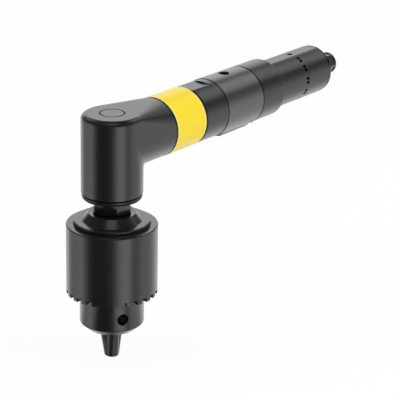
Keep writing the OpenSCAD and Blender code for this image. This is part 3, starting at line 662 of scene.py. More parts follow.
def follow_field(obj: Piece, shape: Field) -> None:
    """Give every corner of a field's mesh the exact normal of the field.

    Args:
        obj: The piece made from the field.
        shape: The distance field.
    """
    mesh = obj.data
    place = np.zeros(len(mesh.vertices) * 3)
    mesh.vertices.foreach_get("co", place)
    place = place.reshape(-1, 3) / MM - np.array((0.0, 0.0, AXIS_Z))
    slope = field_slope(shape, place)
    slope /= np.maximum(np.linalg.norm(slope, axis=1), 1e-9)[:, None]
    mesh.normals_split_custom_set([tuple(slope[loop.vertex_index]) for loop in mesh.loops])


# Node helpers


def wire(tree: Tree, node: Node, feeds: dict[str | int, object]) -> None:
    """Feed a node's inputs.

    Args:
        tree: The tree that the node is in.
        node: The node.
        feeds: Name or number of an input to what feeds it: an output socket, a
            node whose first output is meant, or a constant that is set on it.
    """
    for key, feed in feeds.items():
        if isinstance(feed, Node):
            feed = feed.outputs[0]
        if isinstance(feed, Socket):
            tree.links.new(feed, node.inputs[key])
        else:
            node.inputs[key].default_value = feed


def node_in(tree: Tree, kind: str, feeds: dict[str | int, object] | None = None, **values: object) -> Node:
    """Add a shader or geometry node.

    Args:
        tree: The tree that it goes into.
        kind: Its type.
        feeds: What feeds its inputs, as wire takes it.
        **values: Its plain properties.

    Returns:
        The new node.
    """
    node = tree.nodes.new(kind)
    for key, value in values.items():
        setattr(node, key, value)
    wire(tree, node, feeds or {})
    return node


def math_in(tree: Tree, operation: str, *feeds: object, clamp: bool = False) -> Node:
    """Add a math node whose inputs are fed in order, as wire does it."""
    return node_in(tree, "ShaderNodeMath", dict(enumerate(feeds)), operation=operation, use_clamp=clamp)


def new_group(name: str, kind: str, inputs: dict[str, str | float],
              outputs: dict[str, str]) -> tuple[Tree, Node, Node]:
    """Make a node group with named sockets.

    Args:
        name: Name of the group.
        kind: Type of its tree.
        inputs: Name of each input to its type, or to the default value of a number.
        outputs: Name of each output to its type.

    Returns:
        The group and its input and output nodes.
    """
    tree = bpy.data.node_groups.new(name, kind)
    for label, value in inputs.items():
        number = isinstance(value, float)
        made = tree.interface.new_socket(
            label, in_out="INPUT", socket_type=f"NodeSocket{'Float' if number else value}")
        if number:
            made.default_value = value
    for label, value in outputs.items():
        tree.interface.new_socket(label, in_out="OUTPUT", socket_type=f"NodeSocket{value}")
    return tree, tree.nodes.new("NodeGroupInput"), tree.nodes.new("NodeGroupOutput")


def blank_tree(owner: bpy.types.Material | bpy.types.World) -> Tree:
    """Give a material or a world an empty node tree.

    Args:
        owner: The material or world.

    Returns:
        Its tree.
    """
    owner.use_nodes = True
    owner.node_tree.nodes.clear()
    return owner.node_tree


# Finishes


def coating_group() -> Tree:
    """Build the fine orange peel, smudges and specks that every coated surface has.

    Returns:
        A group with inputs Peel Scale, Smudge and Speck, and outputs Height,
        Roughness Shift and Tone.
    """
    tree, start, end = new_group(
        "coating grain", "ShaderNodeTree", {"Peel Scale": 900.0, "Smudge": 0.04, "Speck": 0.02},
        {"Height": "Float", "Roughness Shift": "Float", "Tone": "Float"})
    given = start.outputs
    where = node_in(tree, "ShaderNodeTexCoord").outputs["Object"]
    peel, smudge, speck = (
        node_in(tree, "ShaderNodeTexNoise", {"Vector": where, "Scale": scale, "Detail": detail})
        for scale, detail in ((given["Peel Scale"], 2.0), (55.0, 4.0), (2600.0, 1.0)))
    shift = math_in(tree, "MULTIPLY", math_in(tree, "SUBTRACT", smudge, 0.5), given["Smudge"])
    tone = math_in(tree, "MULTIPLY_ADD", math_in(tree, "SUBTRACT", speck, 0.5), given["Speck"], 1.0)
    wire(tree, end, {"Height": peel, "Roughness Shift": shift, "Tone": tone})
    return tree


def turning_group() -> Tree:
    """Build the faint rings that a lathe leaves round a turned piece.

    Returns:
        A group with inputs Along (the station along the axis, in metres) and
        Pitch (rings per metre), and output Height.
    """
    tree, start, end = new_group(
        "turning rings", "ShaderNodeTree", {"Along": 0.0, "Pitch": 3000.0}, {"Height": "Float"})
    scaled = math_in(tree, "MULTIPLY", start.outputs["Along"], start.outputs["Pitch"])
    rings = node_in(tree, "ShaderNodeTexNoise", noise_dimensions="1D")
    wire(tree, rings, {"W": scaled, "Scale": 1.0, "Detail": 2.0})
    wire(tree, end, {"Height": rings})
    return tree


def edge_highlight_group() -> Tree:
    """Build the mask of edges, where a painted highlight lightens the colour.

    Returns:
        A group with inputs Reach (width of the painted edge highlight, in metres) and
        Patches (how uneven the highlight is), and output Mask.
    """
    tree, start, end = new_group(
        "painted edge highlight", "ShaderNodeTree", {"Reach": 0.0001, "Patches": 0.5}, {"Mask": "Float"})
    # Painted highlight: the mask is strongest where the rounded normal leaves the true one, at edges.
    rounded = node_in(tree, "ShaderNodeBevel", {"Radius": start.outputs["Reach"]}, samples=8)
    surface = node_in(tree, "ShaderNodeNewGeometry").outputs["Normal"]
    match = node_in(tree, "ShaderNodeVectorMath", {0: rounded, 1: surface}, operation="DOT_PRODUCT")
    fold = eased(tree, match.outputs["Value"], 0.998, 0.955)
    where = node_in(tree, "ShaderNodeTexCoord").outputs["Object"]
    cloud = node_in(tree, "ShaderNodeTexNoise", {"Vector": where, "Scale": 400.0})
    kept = math_in(tree, "SUBTRACT", 1.0, math_in(tree, "MULTIPLY", cloud, start.outputs["Patches"]))
    wire(tree, end, {"Mask": math_in(tree, "MULTIPLY", fold, kept, clamp=True)})
    return tree


def eased(tree: Tree, value: Socket, start: float, end: float, level: float = 1.0) -> Node:
    """Rise smoothly from 0 at start to a level at end.

    Args:
        tree: The tree.
        value: The value that rises.
        start: Where the result is still 0.
        end: Where it has its level.
        level: The level.

    Returns:
        The node that gives the risen value.
    """
    span = {"Value": value, "From Min": start, "From Max": end, "To Max": level}
    return node_in(tree, "ShaderNodeMapRange", span, interpolation_type="SMOOTHSTEP")


@dataclass(frozen=True)
class Finish:
    """One surface finish and how to make its material.

    Attributes:
        name: Name of the material.
        colour: Base colour, linear.
        roughness: Middle roughness.
        metallic: Whether the surface is bare metal.
        ior: Index of refraction of the coating.
        peel: Depth of the fine unevenness, in metres.
        rings: Depth of the turning rings, in metres.
        axis: The axis that the rings run round.
        smudge: How much the roughness varies.
        speck: How much the tone varies.
        edge_highlight: Strength of the painted highlight along the edges.
        highlight_colour: Colour of the painted edge highlight, linear.
        reach: Width of the painted edge highlight, in metres.
    """

    name: str
    colour: tuple[float, float, float]
    roughness: float = 0.35
    metallic: float = 0.0
    ior: float = 1.5
    peel: float = 4e-6
    rings: float = 0.0
    axis: Axis = Axis.HANDLE
    smudge: float = 0.05
    speck: float = 0.04
    # Painted highlight along the edges: its strength, colour and width.
    edge_highlight: float = 0.0
    highlight_colour: tuple[float, float, float] = (0.12, 0.12, 0.125)
    reach: float = 1e-4

    def material(self, grain: Tree, rings: Tree, edges: Tree) -> bpy.types.Material:
        """Build the node material of this finish.

        Args:
            grain: The coating group.
            rings: The turning rings group.
            edges: The group that masks the painted edge highlights.

        Returns:
            The new material.
        """
        made = bpy.data.materials.new(self.name)
        tree = blank_tree(made)
        shader = node_in(tree, "ShaderNodeBsdfPrincipled", {"Metallic": self.metallic, "IOR": self.ior})
        node_in(tree, "ShaderNodeOutputMaterial", {"Surface": shader})
        coating = node_in(tree, "ShaderNodeGroup", node_tree=grain)
        wire(tree, coating, {"Smudge": self.smudge, "Speck": self.speck})
        coat = coating.outputs
        rough = math_in(tree, "ADD", coat["Roughness Shift"], self.roughness, clamp=True)
        colour = node_in(tree, "ShaderNodeVectorMath", {0: self.colour, "Scale": coat["Tone"]}, operation="SCALE")
        # Painted highlight: the colour is mixed towards a lighter one along the edges.
        if self.edge_highlight > 0:
            highlight_mask = node_in(tree, "ShaderNodeGroup", node_tree=edges)
            wire(tree, highlight_mask, {"Reach": self.reach})
            share = math_in(tree, "MULTIPLY", highlight_mask, self.edge_highlight)
            mix = node_in(tree, "ShaderNodeMix", data_type="RGBA")
            wire(tree, mix, {0: share, 6: colour, 7: (*self.highlight_colour, 1.0)})
            colour = mix.outputs[2]
        last = node_in(tree, "ShaderNodeBump", {"Distance": self.peel, "Height": coat["Height"]})
        if self.rings > 0:
            where = node_in(tree, "ShaderNodeTexCoord").outputs["Object"]
            split = node_in(tree, "ShaderNodeSeparateXYZ", {0: where}).outputs
            turning = node_in(tree, "ShaderNodeGroup", node_tree=rings)
            wire(tree, turning, {"Along": split["X" if self.axis is Axis.HANDLE else "Z"]})
            last = node_in(tree, "ShaderNodeBump", {"Distance": self.rings, "Height": turning, "Normal": last})
        wire(tree, shader, {"Base Color": colour, "Roughness": rough, "Normal": last})
        return made


BLACK = (0.0115, 0.0115, 0.012)
# The edge values below paint a lighter colour along each piece's edges: a painted highlight.
FINISHES: tuple[Finish, ...] = (
    Finish("satin_black_handle", BLACK, roughness=0.24, ior=2.0, rings=1.2e-6, edge_highlight=0.35),
    Finish("satin_black_head", BLACK, roughness=0.24, ior=2.0, edge_highlight=0.35),
    Finish("barrel_black", (0.018, 0.018, 0.0185), roughness=0.26, ior=2.75, rings=1.5e-6, edge_highlight=0.35),
    Finish("chuck_black", BLACK, roughness=0.2, ior=2.0, rings=1.5e-6, axis=Axis.CHUCK, edge_highlight=0.35),
    # The yellow coat's pale edge colour is a painted highlight on its chamfered rims.
    Finish("yellow_coat", (1.0, 0.76, 0.018), roughness=0.3, ior=1.52, speck=0.01, edge_highlight=1.0,
           highlight_colour=(1.0, 1.0, 0.6), reach=0.0016),
    Finish("jaw_steel", (0.035, 0.035, 0.037), roughness=0.3, metallic=0.5, ior=2.0, edge_highlight=0.6),
    Finish("spindle_black", BLACK, roughness=0.22, ior=2.0, rings=2e-6, axis=Axis.CHUCK, edge_highlight=0.35),
    Finish("inlet_black", (0.02, 0.02, 0.021), roughness=0.25, ior=2.0, rings=2e-6, edge_highlight=0.6),
    Finish("bearing_steel", (0.62, 0.63, 0.65), roughness=0.12, metallic=1.0),
    Finish("gear_steel", (0.42, 0.42, 0.44), roughness=0.3, metallic=1.0),
    Finish("motor_steel", (0.5, 0.5, 0.52), roughness=0.28, metallic=1.0, rings=2e-6),
    Finish("vane_resin", (0.16, 0.085, 0.04), roughness=0.6),
    Finish("turned_brass", (0.72, 0.5, 0.2), roughness=0.25, metallic=1.0),
    Finish("porous_silencer", (0.02, 0.019, 0.018), roughness=0.9, ior=1.2, peel=6e-5),
    Finish("seal_rubber", (0.012, 0.012, 0.012), roughness=0.6),
)

# The record's slots that have a finish of another name
SLOT_FINISH: dict[str, str] = {
    "black_metal": "satin_black_handle",
    "yellow_metal": "yellow_coat",
    "spindle_steel": "spindle_black",
    "inlet_steel": "inlet_black",
    "small_steel": "gear_steel",
    "vane_plastic": "vane_resin",
    "valve_brass": "turned_brass",
    "silencer_plastic": "porous_silencer",
}


@dataclass
class PaintShop:
    """Holds every material and puts them on pieces."""

    materials: dict[str, bpy.types.Material] = field(default_factory=dict)

    def stock(self) -> None:
        """Make all finishes once."""
        groups = coating_group(), turning_group(), edge_highlight_group()
        for finish in FINISHES:
            self.materials[finish.name] = finish.material(*groups)

    def coat(self, obj: Piece, name: str) -> None:
        """Give a piece one finish all over."""
        obj.data.materials.clear()
        obj.data.materials.append(self.materials[name])

    def coat_cad(self) -> None:
        """Give every CAD node the finish of its slot in the record."""
        slots = {part["node"]: part["material_slot"] for part in frame["record"]["subparts"]}
        for name, obj in frame["nodes"].items():
            made = self.materials[SLOT_FINISH.get(slots[name], slots[name])]
            if not obj.material_slots:
                obj.data.materials.append(made)
            for place in obj.material_slots:
                place.material = made


# The studio


@dataclass(frozen=True)
class SoftBox:
    """A soft light that only reflections show.

    Attributes:
        heading: Degrees to the right of the camera, seen from the tool.
        height: Degrees above level.
        core: Radius of the full light, degrees.
        edge: Radius where the light ends, degrees.
        level: Strength of the full light.
    """

    heading: float
    height: float
    core: float
    edge: float
    level: float


SOFT_BOXES: tuple[SoftBox, ...] = (
    SoftBox(180.0, 5.0, 20.0, 41.0, 1.5),
    SoftBox(130.0, 41.0, 2.0, 23.0, 0.9),
    SoftBox(-130.0, 41.0, 2.0, 23.0, 0.6),
    SoftBox(100.0, 12.0, 4.0, 30.0, 0.14),
    SoftBox(0.0, 66.0, 7.0, 22.0, 0.6),
)

# The share of the light that is lost straight below
DARK_CARD = SoftBox(0.0, -90.0, 22.0, 44.0, 0.8)

# Light of the lower surround: degrees from the camera and grey
WALL_RIGHT: tuple[tuple[float, float], ...] = (
    (180, 1.3), (142, 1.35), (122, 0.86), (102, 0.70), (84, 0.75), (72, 0.50), (63, 0.38), (56, 0.5),
    (49, 0.92), (42, 1.15), (31, 1.1), (21, 0.88), (12, 0.42), (5, 0.16), (0, 0.1))
WALL_LEFT: tuple[tuple[float, float], ...] = (
    (180, 1.3), (142, 1.4), (122, 0.66), (110, 0.62), (98, 0.74), (86, 0.92), (77, 0.88), (70, 0.62),
    (60, 0.24), (52, 0.06), (40, 0.02), (15, 0.02), (0, 0.08))

# Name, place, width and power of each lamp, and the point that they all face
LAMPS: tuple[tuple[str, Point, float, float], ...] = (
    ("lamp_left", (-700.0, 500.0, 700.0), 900.0, 3.5),
    ("lamp_right", (500.0, -900.0, 650.0), 900.0, 6.0),
    ("lamp_top", (100.0, 100.0, 1200.0), 1300.0, 1.0))
LAMP_TARGET = Vector((60.0, 0.0, 70.0)) * MM


@dataclass
class Studio:
    """Camera, light and floor.

    Attributes:
        focal: Focal length in picture widths.
        turn: Heading of the camera, radians.
        lift: How far the camera looks down, radians.
        roll: Tilt of the camera about its view line, radians.
        centre: Place of the camera, millimetres.
        sensor: Width of the camera's sensor, millimetres.
        room: Light of the upper surround between the soft boxes, in reflections.
        fill: Strength of the surround's light on matt surfaces.
        floor_z: Height of the floor, millimetres.
        floor_half: Half the width of the floor, millimetres.
        floor_glow: Strength of the floor's own light in the picture.
        floor_share: Share of that light in the floor's look.
    """

    focal: float = 1877.212 / 400.0
    turn: float = -0.90503833
    lift: float = 0.36295266
    roll: float = 0.01926767
    centre: Point = (-613.175, -533.290, 387.574)
    sensor: float = 36.0
    room: float = 0.03
    fill: float = 0.7
    floor_z: float = from_cad("chuck_jaw_1", 2, False, -0.4)
    floor_half: float = 6000.0
    floor_glow: float = 1.02
    floor_share: float = 0.9

    def aim(self) -> None:
        """Put the camera where the photograph was taken from."""
        sa, ca = math.sin(self.turn), math.cos(self.turn)
        se, ce = math.sin(self.lift), math.cos(self.lift)
        back = Vector((sa * ce, -ca * ce, se))
        right = Vector((ca, sa, 0.0))
        up = back.cross(right)
        c, s = math.cos(self.roll), math.sin(self.roll)
        right, up = c * right + s * up, c * up - s * right
        lens = bpy.data.cameras.new("camera")
        lens.sensor_fit = "HORIZONTAL"
        lens.sensor_width = self.sensor
        lens.lens = self.sensor * self.focal
        lens.clip_start = 0.01
        camera = linked("camera", lens)
        rows = zip(right, up, back, Vector(self.centre) * MM)
        camera.matrix_world = Matrix((*rows, (0.0, 0.0, 0.0, 1.0)))
        bpy.context.scene.camera = camera

    def lay_floor(self) -> None:
        """Lay the pale floor, which keeps a faint shadow of the tool."""
        corners = [(x * self.floor_half, y * self.floor_half, self.floor_z)
                   for x, y in ((-1, -1), (1, -1), (1, 1), (-1, 1))]
        floor = new_piece("floor", corners, [[0, 1, 2, 3]])
        made = bpy.data.materials.new("pale_floor")
        tree = blank_tree(made)
        paper = node_in(tree, "ShaderNodeBsdfDiffuse", {"Color": (0.85, 0.85, 0.85, 1.0)})
        glow = node_in(tree, "ShaderNodeEmission", {"Strength": self.floor_glow})
        seen = node_in(tree, "ShaderNodeLightPath").outputs["Is Camera Ray"]
        share = math_in(tree, "MULTIPLY", seen, self.floor_share)
        mix = node_in(tree, "ShaderNodeMixShader", {0: share, 1: paper, 2: glow})
        node_in(tree, "ShaderNodeOutputMaterial", {"Surface": mix})
        floor.data.materials.append(made)
        floor.visible_glossy = False

    def heading(self, degrees: float) -> Vector:
        """Give the level direction so many degrees to the right of the camera, seen from the tool."""
        turn = self.turn + math.radians(degrees)
        return Vector((math.sin(turn), -math.cos(turn), 0.0))

    def hang_sky(self) -> None:
        """Build the white surround, and the dark room with soft boxes that only reflections show."""
        world = bpy.data.worlds.new("studio")
        bpy.context.scene.world = world
        tree = blank_tree(world)
        way = node_in(tree, "ShaderNodeTexCoord").outputs["Generated"]
        flat = node_in(tree, "ShaderNodeVectorMath", {0: way, 1: (1.0, 1.0, 0.0)}, operation="MULTIPLY")
        level = node_in(tree, "ShaderNodeVectorMath", {0: flat}, operation="NORMALIZE")
        facing = self.along(tree, level, self.heading(0.0))
        side = eased(tree, self.along(tree, level, self.heading(90.0)), -0.06, 0.06)
        left, right = (self.wall(tree, facing, stops) for stops in (WALL_LEFT, WALL_RIGHT))
        glow: float | Node = self.room
        for box in SOFT_BOXES:
            glow = math_in(tree, "ADD", glow, self.patch(tree, way, box))
        below = eased(tree, self.along(tree, way, Vector((0.0, 0.0, -1.0))), -0.34, 0.12)
        kept = math_in(tree, "SUBTRACT", 1.0, self.patch(tree, way, DARK_CARD))
        around_tool = self.blend(tree, below, glow, self.blend(tree, side, left, right))
        mirrored, fill, seen = (
            node_in(tree, "ShaderNodeBackground", {"Strength": strength})
            for strength in (math_in(tree, "MULTIPLY", around_tool, kept), self.fill, 1.0))
        rays = node_in(tree, "ShaderNodeLightPath").outputs
        shiny = math_in(tree, "MAXIMUM", rays["Is Glossy Ray"], rays["Is Transmission Ray"])
        unseen = node_in(tree, "ShaderNodeMixShader", {0: shiny, 1: fill, 2: mirrored})
        last = node_in(tree, "ShaderNodeMixShader", {0: rays["Is Camera Ray"], 1: unseen, 2: seen})
        node_in(tree, "ShaderNodeOutputWorld", {"Surface": last})

    def patch(self, tree: Tree, way: Socket, box: SoftBox) -> Node:
        """Make a round patch of the surround.

        Args:
            tree: The world's tree.
            way: The direction looked at.
            box: Place, size and level of the patch.

        Returns:
            The level of the patch in that direction.
        """
        middle = self.heading(box.heading) * math.cos(math.radians(box.height))
        middle.z = math.sin(math.radians(box.height))
        start, end = (math.cos(math.radians(turn)) for turn in (box.edge, box.core))
        return eased(tree, self.along(tree, way, middle), start, end, box.level)

    @staticmethod
    def along(tree: Tree, way: Socket | Node, axis: Vector) -> Socket:
        """Measure how far a direction points along an axis, from -1 to 1."""
        share = node_in(tree, "ShaderNodeVectorMath", {0: way, 1: axis}, operation="DOT_PRODUCT")
        return share.outputs["Value"]

    @staticmethod
    def blend(tree: Tree, share: Node, low: Socket | Node, high: Socket | Node) -> Node:
        """Blend two values, of which a share of 0 gives the first and 1 the second."""
        return node_in(tree, "ShaderNodeMix", {0: share, 2: low, 3: high}, data_type="FLOAT")

    @staticmethod
    def wall(tree: Tree, facing: Socket, stops: Sequence[tuple[float, float]]) -> Node:
        """Light the surround by its heading.

        Args:
            tree: The world's tree.
            facing: How far a direction points to the camera, from -1 to 1.
            stops: Pairs of degrees from the camera and grey, from behind to the camera.

        Returns:
            The node that gives the light.
        """
        ramp = node_in(tree, "ShaderNodeValToRGB", {0: math_in(tree, "MULTIPLY_ADD", facing, 0.5, 0.5)})
        keys = ramp.color_ramp.elements
        while len(keys) > 1:
            keys.remove(keys[-1])
        for index, (degrees, grey) in enumerate(stops):
            place = (math.cos(math.radians(degrees)) + 1.0) / 2.0
            key = keys.new(place) if index else keys[0]
            key.position = place
            key.color = (grey, grey, grey, 1.0)
        return ramp

    def light(self) -> None:
        """Hang three large soft lamps that light the tool at a plain level."""
        for name, place, size, power in LAMPS:
            lamp = bpy.data.lights.new(name, "AREA")
            lamp.shape = "SQUARE"
            lamp.size = size * MM
            lamp.energy = power
            obj = linked(name, lamp)
            here = Vector(place) * MM
            turn = (LAMP_TARGET - here).to_track_quat("-Z", "Y").to_matrix().to_4x4()
            obj.matrix_world = Matrix.Translation(here) @ turn
            obj.visible_glossy = False

    def build(self) -> None:
        """Set up the whole studio."""
        self.aim()
        self.lay_floor()
        self.hang_sky()
        self.light()
        bpy.context.scene.view_settings.view_transform = "Standard"


# The tool's parts


@dataclass
class Part:
    """One finished piece.

    Attributes:
        obj: The object.
        body: The CAD body it rides on.
        finish: Name of its finish.
        node: The CAD node it stands for.
    """

    obj: Piece
    body: str
    finish: str
    node: str


@dataclass
class SubAssembly:
    """A group of pieces that are built and dressed together.

    Attributes:
        parts: The pieces made so far.
    """

    parts: list[Part] = field(default_factory=list)

    def add(self, obj: Piece, body: str, finish: str, node: str) -> None:
        """Keep a finished piece."""
        self.parts.append(Part(obj, body, finish, node))

    def build(self) -> None:
        """Make every piece of the group."""
        raise NotImplementedError

    def dress(self, shop: PaintShop) -> None:
        """Coat the pieces and let them stand for their CAD nodes.

        Args:
            shop: The paint shop with the finishes.
        """
        for part in self.parts:
            shop.coat(part.obj, part.finish)
            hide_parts(part.node)
            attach(part.obj, part.body)
            LOG.info("%s: %d faces, %s", part.obj.name, len(part.obj.data.polygons), part.finish)


@dataclass
class AngleHead(SubAssembly):
    """The head casting with its plug and retaining ring.

    Attributes:
        radius: Radius of the upright part.
        top: Height of the flat top.
        bottom: Height of the lower end.
        arm_end: Station where the arm meets the coupling ring.
        rounding: Rounding of the top edge.
        shoulder: Station where the arm's upper corners begin to open.
        fillet: Width of the blend under the arm.
        fillet_start: Depth below the handle axis where that blend begins.
        fillet_run: Height over which it grows to its full width.
        seam: Depth of the groove between arm and coupling ring.
    """

    radius: float = from_cad("angle_head", 1)
    top: float = from_cad("angle_head", 2)
    bottom: float = from_cad("angle_head", 2, False)
    arm_end: float = from_cad("angle_head", 0)
    rounding: float = 2.75
    shoulder: float = 3.0
    fillet: float = 2.2
    fillet_start: float = 3.0
    fillet_run: float = 6.0
    seam: float = 1.25

    @staticmethod
    def rounded(across: np.ndarray, over: np.ndarray, corner: float | np.ndarray) -> np.ndarray:
        """Give the distance to a rounded edge.

        Args:
            across: Distance outside the edge's centre, sideways.
            over: Distance above the edge's centre.
            corner: Radius of the edge.

        Returns:
            One distance for each point, negative inside.
        """
        outside = np.hypot(np.maximum(across, 0), np.maximum(over, 0))
        return outside + np.minimum(np.maximum(across, over), 0) - corner

    def outside(self, points: np.ndarray) -> np.ndarray:
        """Give the distance to the casting's outer surface, negative inside.

        Args:
            points: Array of points.

        Returns:
            One distance for each point.
        """
        x, y, z = points.T
        upright = self.rounded(np.hypot(x, y) - (self.radius - self.rounding),
                               z - (self.top - self.rounding), self.rounding)
        share = np.clip((x - self.shoulder) / (self.arm_end - self.shoulder), 0, 1)
        corner = self.rounding + (self.top - self.rounding) * share
        half = self.radius + (self.top - self.radius) * share
        square = self.rounded(np.abs(y) - (half - corner), z - (self.top - corner), corner)
        belly = np.hypot(y / half * self.top, z) - self.top
        arm = np.maximum(np.where(z > 0, square, belly), -x)
        blend = self.fillet * np.clip((-z - self.fillet_start) / self.fillet_run, 0.001, 1)
        near = np.maximum(blend - np.abs(upright - arm), 0) / blend
        return np.minimum(upright, arm) - near * near * blend / 4

    def casting(self) -> Piece:
        """Make the head casting with the bores for its bearings.

        Returns:
            The casting.
        """
        r, top, low, end = self.radius, self.top, self.bottom, self.arm_end
        first, last = (-r - 1, -r - 1, low - 2), (end + 2, r + 1, top + 1)
        head = skin_of(self.outside, "head_casting", first, last, SKIN_STEP)
        follow_field(head, self.outside)
        lower = turned("lower_trim", [
            (0, low + 0.25), (r - 0.1, low + 0.25), (r + 1, low + 1.35), (r + 1, low - 10), (0, low - 10)],
            Axis.CHUCK)
        groove = end - self.seam
        front = turned("arm_trim", [
            (0, end), (top + 0.15, end), (top - 1.1, groove), (top + 2, groove), (top + 2, end + 10),
            (0, end + 10)], Axis.HANDLE)
        upright_bore = turned("upright_bore", [
            (0, low - 1), (12.42, low - 1), (12.42, LOWER_SEAT), (12, LOWER_SEAT), (12, LOWER_REST),
            (10.8, LOWER_REST), (10.8, 6.5), (6, 6.5), (6, 10.5), (5.9, 10.5), (5.9, top - 1.2), (6, top - 1.1),
            (6, top + 1), (0, top + 1)], Axis.CHUCK, steps=BORE_STEPS)
        arm_bore = turned("arm_bore", [
            (0, 0), (8, 0), (8, 12), (11, 12), (11, 28), (SOCKET_R, 28), (SOCKET_R, end + 1), (0, end + 1)],
            Axis.HANDLE, steps=BORE_STEPS)
        return carve(head, [lower, front, upright_bore, arm_bore])

    def plug(self) -> Piece:
        """Make the plug in the top, with the fine groove round it.

        Returns:
            The plug.
        """
        r, top, groove = edge("head_plug", 1), self.top, 1.2
        return crisp(turned("top_plug", [
            (0, top - 3), (r, top - 3), (r, top - groove), (r - 0.45, top - groove), (r - 0.45, top, 0.1),
            (0, top)], Axis.CHUCK))

    def retaining_ring(self) -> Piece:
        """Make the ring that is screwed in under the head.

        Returns:
            The ring.
        """
        r, bore = self.radius - 0.3, 8.76
        low, top = edge("head_retaining_ring", 2, False), self.bottom - 0.65
        return crisp(turned("retaining_ring", [
            (bore, low, 0.3), (r - 0.5, low, 0.15), (r - 0.1, low + 0.6, 0.1), (r - 0.5, low + 0.75),
            (r, low + 1.25), (r, top, 0.1), (12.4, top), (12.4, LOWER_SEAT), (bore, LOWER_SEAT)],
            Axis.CHUCK))

    def build(self) -> None:
        """Make the casting, the plug in its top and the ring under it."""
        self.add(self.casting(), "housing", "satin_black_head", "angle_head")
        self.add(self.plug(), "housing", "satin_black_head", "head_plug")
        self.add(self.retaining_ring(), "housing", "satin_black_head", "head_retaining_ring")


